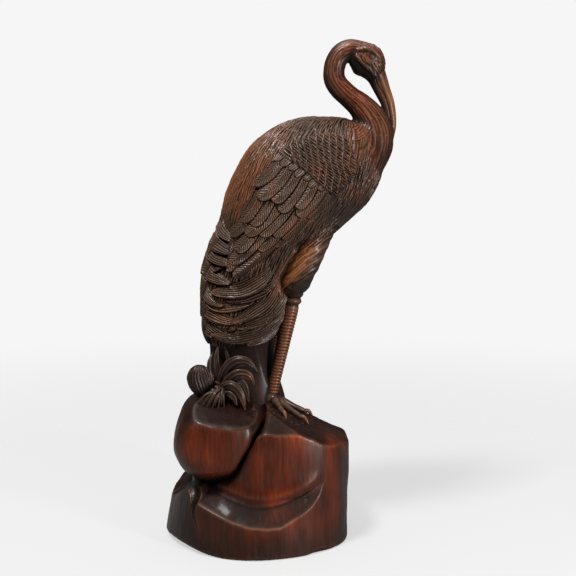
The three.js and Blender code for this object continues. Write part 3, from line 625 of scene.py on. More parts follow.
def flow(p, t, a):
    """Direction of the hair strokes at places on the torso."""
    s = np.abs(a)
    e = 2e-3
    body = unit(body_at(np.minimum(t + e, 1), a) - body_at(np.maximum(t - e, 0), a))
    down = np.stack([-0.30 + 0 * t, 0 * t, -1.0 + 0 * t], -1)
    breast = np.stack([-0.50 + 0 * t, 0 * t, -0.87 + 0 * t], -1)
    front = smoothstep(p[:, 0], 52, 66)[:, None]
    chest = unit(np.stack([-0.35 - 0.02 * (p[:, 0] - 70), 0 * t, -0.9 + 0 * t], -1))
    low = smoothstep(s, 1.5, 2.1)[:, None]
    d = down * (1 - low) + breast * low
    d = d * (1 - front) + chest * front
    ridge = (1 - smoothstep(s, 0.25, 0.8))[:, None]
    d = d * (1 - ridge) + body * ridge
    keel = smoothstep(s, 2.5, 3.0)[:, None]
    d = d * (1 - keel) + body * keel
    tail = smoothstep(t, 0.60, 0.72)[:, None]
    return unit(d * (1 - tail) + unit(body + np.stack([0 * t, 0 * t, -0.2 + 0 * t], -1)) * tail)


def paint_torso(px):
    nt, na = int(220 / px), int(250 / px)
    t, a = np.meshgrid(np.linspace(0, 1, nt), np.linspace(-PI, PI, na), indexing="ij")
    P = body_at(t, a)
    R = Relief(P, body_normal(t, a))
    R.h += 0.55 * (noise2(a * 37 / 9, t * 220 / 14, 9.0) - 0.5)
    rng = np.random.default_rng(77)
    # hair: one row of cuts after another, along the flow
    for across, along, ln, width, depth, seed in ((2.1, 6.0, 12.0, 0.5, 0.66, 1), (3.4, 9.0, 18.0, 0.85, 0.5, 2), (1.6, 5.0, 9.0, 0.38, 0.42, 3)):
        v = np.arange(4, 214, along)
        t0, a0 = [], []
        for k, vv in enumerate(v):
            tt = vv / 220
            girth = 2 * PI * max(10.0, float(np.interp(tt, np.linspace(0, 1, 13), HALF_WIDTH)) * 0.92)
            m = int(girth / across)
            aa = (np.arange(m) + (0.5 if k % 2 else 0) + rng.uniform(-0.3, 0.3, m)) / m * 2 * PI - PI
            t0.append(np.clip(tt + rng.uniform(-0.45, 0.45, m) * along / 220, 0.004, 0.985))
            a0.append(aa)
        t0, a0 = np.concatenate(t0), np.concatenate(a0)
        p = body_at(t0, a0)
        aim = flow(p, t0, a0)
        n = len(t0)
        mild = 1 - 0.15 * (1 - smoothstep(np.abs(a0), 1.2, 1.6)) * smoothstep(t0, 0.22, 0.32) * (1 - smoothstep(t0, 0.50, 0.56))
        groove(R, t0, a0, aim, ln * rng.uniform(0.7, 1.25, n), width * rng.uniform(0.8, 1.25, n),
               depth * mild * rng.uniform(0.5, 1.2, n), rng.uniform(-0.9, 0.9, n))
    order = []
    for side in (-1, 1):
        for n, (line, half, height) in enumerate(PLUMES):
            order.append((min(q[1] for q in line), side, line, half, height, n))
    for row in range(7):
        t0, n = 0.565 + row * 0.062, 2 + row % 2
        for i in range(n):
            mid = (i - (n - 1) / 2) * (0.62 if n == 3 else 0.7)
            order.append((float(body_at(np.array(min(1, t0 + 0.11)), np.array(0.0))[2]) + 2, 0, (t0, mid), 6.4, 2.2, i + row))
    for _, side, line, half, height, n in sorted(order, key=lambda o: o[0]):
        low = 0
        if side:
            jit = 0 if side < 0 else rng.uniform(-1.5, 1.5, 2)
            pts = spline(np.array(line, float) + jit, np.linspace(0, 1, 11))
            tt, turn = on_flank(pts[:, 0], pts[:, 1])
            spine = over_body(tt, side * turn, 0.6 + 0 * tt)
            low = side if pts[-1, 0] > pts[0, 0] else -side
        else:
            t0, mid = line
            s = np.linspace(0, 1, 9)
            spine = over_body(np.minimum(1, t0 + 0.12 * s), mid + 0.22 * np.sin(PI * s * 0.8) * (1 if n % 2 else -1) * 0.6, 0.6 + 0 * s)
        if low:
            R.feather(spine, half * 1.12, lift=0.5 + 0.25 * height, root=0.1, dome=0.3, tip=0.6, barb=0, depth=1.05,
                      strands=round(half * 2 / 1.7), rachis=0, rim=2.2, rim_w=2.4, tilt=0.0, waist=0.5, edge=0.5, point=1.3,
                      crest=height * 1.1, low=low)
        else:
            R.feather(spine, half, lift=height * 0.6, root=0.1, dome=height * 0.35, tip=0.7, barb=0, depth=0.9, strands=round(half * 2 / 1.7),
                      rachis=0, rim=1.3, rim_w=1.1, tilt=0.0, waist=0.5, edge=0.4, point=1.4)
    return R


# ------------------------------------------------------------------ wing
def wing_place(a, b, side):
    s = np.clip(a / WING_LAST, 0, 1)
    p, q = spline(WING_UPPER, s), spline(WING_LOWER, s)
    extra = np.clip(a / WING_LAST - 1, 0, None)[..., None] * 7.0
    end_p = (np.array(WING_UPPER[-1]) - WING_UPPER[-2]) * extra
    end_q = (np.array(WING_LOWER[-1]) - WING_LOWER[-2]) * extra
    p, q = p + end_p, q + end_q
    x = p[..., 0] + (q[..., 0] - p[..., 0]) * b
    z = p[..., 1] + (q[..., 1] - p[..., 1]) * b
    t, turn = on_flank(x, z)
    return t, side * turn


def wing_dome(a, b):
    b = np.clip(b, 0, 1)
    return (WING_THICK * np.minimum(1, 0.25 + 1.1 * np.sqrt(np.clip(np.sin(PI * b), 0, None)))
            * (0.45 + 0.55 * smoothstep(np.asarray(a) / 1.2)))


# Long feathers, side view, root to tip, in mm: three rows below the scales, then the ends that run
# into the tail. The first of each row lies nearest the back.
QUILLS = [
    [(0.5, 303.0, -16.5, 287.0), (7.5, 299.5, -13.0, 276.5), (13.5, 296.0, -3.0, 274.6), (20.0, 293.0, 2.0, 267.0),
     (26.5, 289.5, 13.6, 270.6), (33.0, 285.0, 14.6, 264.4), (38.0, 281.0, 22.5, 262.5)],
    [(-11.0, 285.5, -25.0, 259.0), (-4.5, 281.0, -18.6, 256.8), (3.5, 276.5, -22.6, 249.4), (8.5, 272.5, -12.8, 249.2),
     (14.0, 269.0, -3.4, 249.4), (21.5, 266.5, 3.0, 247.2), (28.0, 266.0, 12.5, 249.5)],
    [(-20.5, 264.0, -34.0, 249.0), (-15.5, 258.5, -30.0, 236.5), (-10.0, 252.5, -34.8, 227.0), (-1.0, 250.5, -15.2, 239.6),
     (-3.5, 243.5, -32.6, 216.8), (6.5, 247.5, -12.4, 227.2), (12.5, 249.5, -2.0, 232.5)],
    [(-24.0, 240.0, -38.0, 222.0), (-12.0, 238.0, -28.5, 221.0), (-3.7, 237.1, -27.0, 214.5), (2.5, 236.0, -15.0, 221.5),
     (7.5, 240.0, -7.6, 225.5), (10.0, 234.0, -4.0, 219.0)],
]
QUILL_HALF = [5.4, 5.4, 5.3, 4.8]

# Scales stand in upright columns; each points down and back. Column pitch and scale pitch in mm.
COLUMN, SCALE = 4.9, 2.8


def scales(x, z, seed):
    """Height of the small scales of the shoulder at a place of the side view, and how deep in a cut."""
    dz = z - 300
    back = smoothstep(22 - x, 0, 28)  # larger toward the back
    wob = 0.9 * np.sin(z / 4.7 + x / 9) + 1.8 * (noise2(x / 7, z / 6, seed) - 0.5)
    u = (x + 0.035 * dz + 0.002 * dz**2 + wob - 22) / COLUMN
    u = np.where(x < 22, u / (1 + 0.35 * back), u)
    col = np.floor(u)
    fu = u - col
    # the upright ridge of each column, low where the scales are fresh
    ridge = np.cos(PI * np.clip((fu - 0.5) / 0.5, -1, 1) * 0.5) ** 2  # 1 in the middle of a column
    h = 0.9 * (1 - ridge) ** 1.5 * (0.5 + 0.8 * noise2(col * 5.3, z / 4.0, seed + 9))
    # slanting cuts across the column, each of its own length, place and slope
    pitch = SCALE * (0.85 + 0.55 * back)
    cut = np.zeros_like(u)
    for n, (slope, reach) in enumerate(((0.95, 1.0), (0.8, 0.6))):
        v = (dz + slope * (fu - 0.5) * COLUMN) / (pitch * (1 + 0.5 * n)) + hash2(col, 5.0 + n, seed) * 7
        v += 0.5 * (noise2(col * 3.1 + 40, z / 5.0, seed + 3 + n) - 0.5) + 0.5 * (fu - 0.5) ** 2
        row = np.floor(v)
        fv = v - row
        mid, ln = 0.5 + 0.22 * (hash2(col, row, seed + 6 + n) - 0.5), 0.30 + 0.16 * hash2(col, row, seed + 4 + n)
        k = np.clip(1 - ((fu - mid) / ln) ** 2, 0, 1) ** 0.5
        c = k * np.exp(-(((fv - 0.5) * pitch / (0.55 + 0.2 * hash2(col, row, seed + 8))) ** 2)) * (0.6 + 0.6 * hash2(col, row, seed + 5 + n))
        cut = np.maximum(cut, reach * c)
        if n == 0:
            h += 0.45 * k * (1 - fv) ** 0.8  # each scale rises to its tip
    h -= 1.9 * cut
    return h - 0.1


def build_wing(side, px):
    na, nb = int(142 / px), int(66 / px)
    a, b = np.meshgrid(np.linspace(-0.12, 7.28, na), np.linspace(-0.06, 1.06, nb), indexing="ij")
    t, turn = wing_place(a, b, side)
    n = body_normal(t, turn)
    P = body_at(t, turn) + n * wing_dome(a, b)[..., None]
    R = Relief(P, n)
    low = -wing_dome(a, b) - 1.3
    R.h[:] = low

    def lifted(tt, tu, aa, bb):
        return body_at(tt, tu) + body_normal(tt, tu) * (wing_dome(aa, bb) + 0.8)[:, None]

    def line(a0, b0, a1, b1, bow):
        s = np.linspace(0, 1, 9)
        aa, bb = a0 + (a1 - a0) * s, b0 + (b1 - b0) * s + bow * np.sin(PI * s)
        tt, tu = wing_place(aa, bb, side)
        return lifted(tt, tu, aa, bb)

    def strand(x0, z0, x1, z1, bow):
        s = np.linspace(0, 1, 9)
        l = math.hypot(x1 - x0, z1 - z0)
        cx, cz = (z1 - z0) / l * -bow, (x1 - x0) / l * bow
        k = np.sin(PI * s) * (1 - 0.25 * s)
        x, z = x0 + (x1 - x0) * s + cx * k, z0 + (z1 - z0) * s + cz * k
        tt, tu = on_flank(x, z)
        mid = np.full(9, 0.5)
        return lifted(tt, side * tu, mid * 8, mid)

    rng = np.random.default_rng(11 if side < 0 else 12)
    sgn = -side
    vane = dict(root=0.0, dome=0.0, tip=0.22, barb=2.7, depth=0.58, sweep=1.55, rachis=0.4, rim=2.4, rim_w=0.85,
                waist=0.97, edge=0.2, point=0.8)
    # a plain layer below, so that no gap is left
    for r in range(3, -1, -1):
        a0, a1 = 2.5 + r * 0.98, 4.0 + r * 1.0
        for i in range(6, -1, -1):
            mid = (i + 0.5) / 7
            R.feather(line(a0, mid - 0.02, min(7.05, a1 + 0.1 * rng.uniform(-1, 1)), mid, 0.03), 5.4, lift=1.0, tilt=0.3 * sgn,
                      **{**vane, "rim": 0.6})
    for row, half in zip(QUILLS[::-1], QUILL_HALF[::-1]):
        for i in range(len(row) - 1, -1, -1):
            jit = rng.uniform(-1, 1, 6) * (0.0 if side < 0 else 1.4)
            x0, z0, x1, z1 = (np.array(row[i]) + [0, 0, jit[0], jit[1]])
            R.feather(strand(x0, z0, x1, z1, 1.6 + 0.6 * rng.uniform(-1, 1)), half * (1 + 0.1 * rng.uniform(-1, 1)),
                      lift=2.6 + 0.3 * rng.uniform(-1, 1), tilt=0.9 * sgn, **vane)
    # small coverts where the scales end
    for i in range(6, -1, -1):
        bb = (i + 0.35) / 8.6
        R.feather(line(2.4, bb, 3.06 + 0.10 * math.sin(3.0 * i), bb + 0.01, 0.0), 4.0 - 1.5 * bb, lift=0.9, root=0.2, dome=0.0, tip=0.5,
                  barb=0, depth=0.4, strands=4, rachis=0, rim=1.5, rim_w=0.7, tilt=0.4 * sgn, waist=0.95, edge=0.3, point=0.9)
    x, z = P[..., 0], P[..., 2]
    area = smoothstep(a, 0.05, 0.45) * (1 - smoothstep(a, 2.66, 2.78)) * smoothstep(b, -0.02, 0.07) * (1 - smoothstep(b, 0.93, 1.02))
    hs = scales(x, z, 7.0 if side < 0 else 8.0) + 1.1
    R.h = np.where(area > 0.01, R.h * (1 - area) + hs * area, R.h)
    R.on |= area > 0.4
    hmap = np.where(R.on | (area > 0.01), R.h, low)
    top = P + n * hmap[..., None]
    under = body_at(t, turn) - n * 2.6
    return top, under, R.on


def shell(top, under):
    """Closed mesh from a top and an underside grid of the same shape."""
    h, w, _ = top.shape
    pts = np.concatenate([top.reshape(-1, 3), under.reshape(-1, 3)])
    o = h * w
    i, j = np.arange(h - 1)[:, None] * w, np.arange(w - 1)[None]
    q = np.stack([i + j, i + w + j, i + w + j + 1, i + j + 1], -1).reshape(-1, 4)
    rim = np.concatenate([np.arange(w - 1), np.arange(h - 1) * w + w - 1, (h - 1) * w + np.arange(w - 1, 0, -1),
                          np.arange(h - 1, 0, -1) * w])
    nxt = np.roll(rim, -1)
    wall = np.stack([rim, nxt, nxt + o, rim + o], -1)
    centre = len(pts)
    pts = np.concatenate([pts, under[h // 2, w // 2][None] * [1, 0.2, 1]])
    fan = np.stack([rim + o, nxt + o, np.full(len(rim), centre)], -1)
    return pts, q, wall, fan


# ------------------------------------------------------------------ the rock
PLINTH_X, PLINTH_R = -19.0, 75.5
MASS_X, MASS_R, CORNER = -7.5, 64.8, 7.0
# Ledge on the plinth, by direction from its middle (degrees): outer lip and inner crease heights
LEDGE = np.array([[0, 60, 60], [100, 58, 64], [130, 46, 56], [160, 36, 46], [184, 33, 42], [200, 36, 45], [215, 44, 50],
                  [225, 49, 54], [229, 47, 53], [233, 40, 50], [241, 37, 48.5], [249, 33.5, 46.0], [259, 28.8, 43.2], [269, 25.8, 40.6], [279, 24.6, 40.4],
                  [287, 25, 42], [294, 29.2, 44.5], [301, 34, 48], [307, 39, 52], [312, 47, 56], [316, 57, 60], [326, 62, 62], [360, 60, 60]], float)


def smin(a, b, k):
    t = np.clip(0.5 + 0.5 * (b - a) / k, 0, 1)
    return b + (a - b) * t - k * t * (1 - t)


def smax(a, b, k):
    return -smin(-a, -b, k)


def plane(x, y, z, p, n):
    n = np.array(n, float) / np.linalg.norm(n)
    return (x - p[0]) * n[0] + (y - p[1]) * n[1] + (z - p[2]) * n[2]


def scoop(x, y, z, p, n, r):
    """Hollow cut of radius r that touches the plane p, n at p."""
    n = np.array(n, float) / np.linalg.norm(n)
    c = np.array(p, float) + n * r
    return r - np.sqrt((x - c[0]) ** 2 + (y - c[1]) ** 2 + (z - c[2]) ** 2)


def boulder_at(x, y, z):
    q = (np.abs((x + 46) / 40.0) ** 2.5 + np.abs((y + 19) / 48.5) ** 2.5 + np.abs((z - 86) / 34.5) ** 2.5) ** (1 / 2.5)
    d = (q - 1) * 36
    for p, n, k in [((-20.5, -60, 89), (0.86, -0.12, -0.50), 2.4),      # right edge, down to the left
                    ((-46, -60, 60.5), (0.30, -0.25, -0.92), 5.0),      # underside
                    ((-79, -40, 63), (-0.90, -0.15, -0.42), 7.0),       # lower left
                    ((-81.5, -30, 96), (-0.93, -0.10, 0.34), 7.0),      # upper left
                    ((-29, -50, 106.8), (0.12, -0.46, 0.88), 0.7),      # top, right facet
                    ((-50, -49, 115.5), (-0.06, -0.55, 0.83), 0.7),     # top, middle facet
                    ((-72, -42, 113), (-0.55, -0.40, 0.73), 2.0),       # top, left facet
                    ((-47, -66, 84), (0.06, -1.0, 0.02), 7.0),          # broad front face
                    ((-21, -60, 84), (0.62, -0.78, -0.08), 2.5)]:       # front face, right
        d = smax(d, plane(x, y, z, p, n), k)
    return d


def build_rock(h):
    lo, hi = np.array([-98.0, -82.0, -3.0]), np.array([70.0, 82.0, 122.0])
    f = Field(lo, hi, h, 4 * h)
    ax = [(np.arange(f.lo[c], f.hi[c] + 1) * h).astype(np.float32) for c in range(3)]
    x, y, z = np.meshgrid(*ax, indexing="ij", sparse=True)
    a1 = np.arctan2(y, x - PLINTH_X) % (2 * PI)
    r1 = np.hypot(x - PLINTH_X, y)
    wave = lambda a, k: np.sin(3 * a + k) + 0.6 * np.sin(5 * a + 2.3 * k)  # noqa: E731
    left, corner = near(a1, 184, 62), near(a1, 322, 44)
    deg = np.degrees(a1)
    lip = np.interp(deg, LEDGE[:, 0], LEDGE[:, 1])
    crease = np.interp(deg, LEDGE[:, 0], LEDGE[:, 2])
    chip = 1.2 + 6.5 * near(a1, 214, 44) + 3.0 * near(a1, 313, 12) + 3.5 * near(a1, 333, 14) + 2.0 * near(a1, 60, 30)
    wall = (PLINTH_R + 0.65 * wave(a1, 1.5) + 4 * corner - 1.5 * near(a1, 240, 55)
            - 1.0 * np.clip(z / 30, 0, 1) - 4.5 * left * np.clip(z / 30, 0, 1.3))
    # main mass
    a2 = np.arctan2(y, x - MASS_X) % (2 * PI)
    r2 = np.hypot(x - MASS_X, y)
    c2 = near(a2, 322, 44)
    taper = 5.0 * np.clip((z - 96) / 26, 0, 1) ** 1.2
    bulge = 1.5 * np.sin(PI * np.clip((z - 40) / 62, 0, 1)) - 1.5
    mr = MASS_R + CORNER * c2 * (1 - 0.2 * np.clip((z - 52) / 36, 0, 1)) + 0.5 * wave(a2, 4) - taper + bulge
    open_ = smoothstep(deg, 236, 248) * (1 - smoothstep(deg, 303, 315))
    mr = mr + 1.8 * open_ * np.exp(-(((z - crease - 5.5) / 5.0) ** 2))
    # the ledge falls from the crease by the mass to the lip at the wall, hollow between
    gap = np.maximum(wall - (MASS_X - PLINTH_X) * np.cos(a1) - MASS_R, 6.0)
    s = np.clip((wall - r1) / gap, 0, 3)
    convex = smoothstep(deg, 100, 130) * (1 - smoothstep(deg, 224, 231))
    top = lip + (crease - lip) * ((0.62 * s + 0.38 * s**2.2) * (1 - convex) + convex * s)
    ledge = (z - top) * 0.62
    plinth = smax(r1 - wall, ledge, 0.9)
    plinth = smax(plinth, (r1 - wall + chip) * 0.62 - z * 0.78, 0.8)
    plinth = smax(plinth, -z, 0.5)
    plinth = smax(plinth, z - 66, 2.0)
    for p, n, k in [((-86, -34, 30), (-0.80, -0.58, 0.12), 1.5), ((-70, -62, 30), (-0.45, -0.88, 0.10), 1.0),
                    ((-84, -36, 46), (-0.55, -0.42, 0.72), 1.2)]:
        plinth = smax(plinth, plane(x, y, z, p, n), k)
    mass = smax(r2 - mr, -z, 0.5)
    mass = smax(mass, (r2 - mr + 1.5) * 0.6 - z * 0.8 - 0.4, 1.0)
    for px, py, pz, dx, dy in ROCK_TOP:
        mass = smax(mass, plane(x, y, z, (px, py, pz), (dx, dy, 1)), 1.6)
    mass = smax(mass, plane(x, y, z, (8, -56, 99.5), (0.10, -0.55, 0.84)), 0.7)
    mass = smax(mass, plane(x, y, z, (-14, -52, 101.5), (-0.42, -0.45, 0.80)), 1.2)
    mass = smax(mass, scoop(x, y, z, (41, -40, 89), (0.42, -0.50, 0.74), 46), 0.8)
    mass = smax(mass, plane(x, y, z, (58, -24, 80), (0.90, -0.42, 0.12)), 1.2)
    for p, n, k in [((10, 50, 92), (0.1, 0.7, 0.7), 2), ((-50, 38, 92), (-0.75, 0.5, 0.5), 2)]:
        mass = smax(mass, plane(x, y, z, p, n), k)
    boulder = boulder_at(x, y, z)
    # a valley round the boulder, with a soft shoulder on its far side
    mass = smax(mass, -(boulder - 2.2), 7.0)
    cut = 3.2 * open_ * (1 - 0.72 * smoothstep(deg, 278, 308))
    crack = np.hypot((r2 - mr + 0.2) * 0.8, (z - crease + 1.6) * 1.25) - cut
    mass = smax(mass, np.where(open_ > 0.02, -crack, -50), 0.5)
    plinth = smax(plinth, -(boulder - 2.5), 4.0)
    core = smax(np.hypot(x + 14, y) - (55 - 12 * np.clip((z - 70) / 22, 0, 1)), z - 92, 3)
    core = smax(core, 3 - z, 1)
    rock = smin(plinth, mass, 1.2)
    rock = smin(rock, core, 2.5)
    rock = smin(rock, boulder, 0.8)
    f.v = np.clip(rock, -f.band, f.band).astype(np.float32)
    slit = limb([[-66, -52, 56, 7, 8], [-65, -57, 47, 6.5, 9], [-67, -60, 36, 3.0, 8],
                 [-62, -66, 18, 1.6, 6], [-57, -70, 4, 1.6, 6], [-56, -72, -3, 1.8, 6]], 30, 8)
    f.cut(skin(slit), 0.8)
    return f


# ------------------------------------------------------------------ meshes in the scene
def new_object(name, pts, *face_sets):
    me = bpy.data.meshes.new(name)
    loops = np.concatenate([f.ravel() for f in face_sets]).astype(np.int32)
    totals = np.concatenate([np.full(len(f), f.shape[1]) for f in face_sets]).astype(np.int32)
    starts = np.concatenate([[0], np.cumsum(totals)[:-1]]).astype(np.int32)
    me.vertices.add(len(pts))
    me.vertices.foreach_set("co", (np.asarray(pts, np.float32) * 0.001).ravel())
    me.loops.add(len(loops))
    me.loops.foreach_set("vertex_index", loops)
    me.polygons.add(len(totals))
    me.polygons.foreach_set("loop_start", starts)
    me.polygons.foreach_set("loop_total", totals)
    me.polygons.foreach_set("use_smooth", np.ones(len(totals), bool))
    me.update(calc_edges=True)
    me.validate()
    ob = bpy.data.objects.new(name, me)
    bpy.context.scene.collection.objects.link(ob)
    return ob


def apply_decimate(ob, target):
    me = ob.data
    me.calc_loop_triangles()
    n = len(me.loop_triangles)
    if n > target:
        m = ob.modifiers.new("thin", "DECIMATE")
        m.ratio = target / n
        m.use_collapse_triangulate = True
        dg = bpy.context.evaluated_depsgraph_get()
        new = bpy.data.meshes.new_from_object(ob.evaluated_get(dg), depsgraph=dg)
        ob.modifiers.clear()
        old, ob.data = me, new
        new.name = ob.name
        bpy.data.meshes.remove(old)
    ob.data.polygons.foreach_set("use_smooth", np.ones(len(ob.data.polygons), bool))
    return ob


def read_mesh(me):
    p = np.empty(len(me.vertices) * 3, np.float32)
    me.vertices.foreach_get("co", p)
    me.calc_loop_triangles()
    t = np.empty(len(me.loop_triangles) * 3, np.int32)
    me.loop_triangles.foreach_get("vertices", t)
    return p.reshape(-1, 3).astype(np.float64) * 1000, t.reshape(-1, 3)


def smooth_values(v, edges, n, times):
    deg = np.bincount(edges[:, 0], minlength=n) + np.bincount(edges[:, 1], minlength=n)
    deg = np.maximum(deg, 1)
    cols = [v] if v.ndim == 1 else list(v.T)
    for _ in range(times):
        cols = [0.5 * c + 0.5 * (np.bincount(edges[:, 0], c[edges[:, 1]], n) + np.bincount(edges[:, 1], c[edges[:, 0]], n)) / deg
                for c in cols]
    return cols[0] if v.ndim == 1 else np.stack(cols, -1)


def hollows(p, tris, radii):
    """For each radius in mm, how far each vertex lies below its surroundings smoothed over it: above 0 in grooves."""
    e = np.concatenate([tris[:, [0, 1]], tris[:, [1, 2]], tris[:, [2, 0]]])
    e = e[e[:, 0] < e[:, 1]]
    n = vertex_normals(p, tris)
    spacing = np.linalg.norm(p[e[:, 0]] - p[e[:, 1]], axis=1).mean()
    s, done, out = p, 0, []
    for r in radii:
        times = min(140, max(2, round(4 * (r / spacing) ** 2)))
        s = smooth_values(s, e, len(p), times - done)
        done = times
        out.append(((s - p) * n).sum(1))
    return out, e, n


def put(me, name, values, colour=False):
    if name in me.attributes:
        me.attributes.remove(me.attributes[name])
    a = me.attributes.new(name, "FLOAT_COLOR" if colour else "FLOAT", "POINT")
    a.data.foreach_set("color" if colour else "value", np.ascontiguousarray(values, np.float32).ravel())




def pieces_of(name, p, tris, count, values):
    """Cuts a closed skin by height into closed pieces that shade as one, with their vertex values."""
    n = vertex_normals(p, tris)
    z = p[tris].mean(1)[:, 2]
    group = np.searchsorted(np.quantile(z, np.linspace(0, 1, count + 1)[1:-1]), z)
    out = []
    for g in range(count):
        t = tris[group == g]
        a = np.concatenate([t[:, [0, 1]], t[:, [1, 2]], t[:, [2, 0]]])
        key, back = a[:, 0].astype(np.int64) * len(p) + a[:, 1], a[:, 1].astype(np.int64) * len(p) + a[:, 0]
        rim = a[~np.isin(key, back)]
        # connected rims, each closed by a fan inside the skin
        root = {}

        def find(k):
            while root.setdefault(k, k) != k:
                root[k] = root[root[k]]
                k = root[k]
            return k

        for u, v in rim.tolist():
            root[find(u)] = find(v)
        of = np.array([find(u) for u in rim[:, 0].tolist()])
        extra, caps, mean = [], [], []
        for k in np.unique(of):
            r = rim[of == k]
            extra.append(p[r[:, 0]].mean(0))
            caps.append(np.stack([r[:, 1], r[:, 0], np.full(len(r), len(p) + len(extra) - 1)], -1))
            mean.append(r[:, 0])
        allp = np.concatenate([p, np.array(extra).reshape(-1, 3)])
        faces = np.concatenate([t, *caps])
        used, inv = np.unique(faces, return_inverse=True)
        ob = new_object(f"{name}_{g + 1}", allp[used], inv.reshape(-1, 3))
        up = np.tile([0.0, 0, 1.0], (len(extra), 1))
        normals = np.concatenate([n, up])[used]
        ob.data.normals_split_custom_set_from_vertices(normals.astype(np.float32))
        for key_, v in values.items():
            w = np.concatenate([v, np.array([v[m].mean() for m in mean])])
            put(ob.data, key_, w[used])
        out.append(ob)
    return out
# ------------------------------------------------------------------ assembly
H_BIRD = 0.5
H_ROCK = 0.85
PX_WING = 0.36
PX_BODY = 0.25
BIRD_TRIS = 560_000
ROCK_TRIS = 120_000


def nearest_on(line, q, keep=(0, 2)):
    """Index of the nearest point of a line in the side view."""
    c = line[:, list(keep)]
    out = np.empty(len(q), int)
    for k in range(0, len(q), 20000):
        r = q[k:k + 20000][:, list(keep)]
        out[k:k + 20000] = ((r**2).sum(1)[:, None] - 2 * r @ c.T + (c**2).sum(1)[None]).argmin(1)
    return out


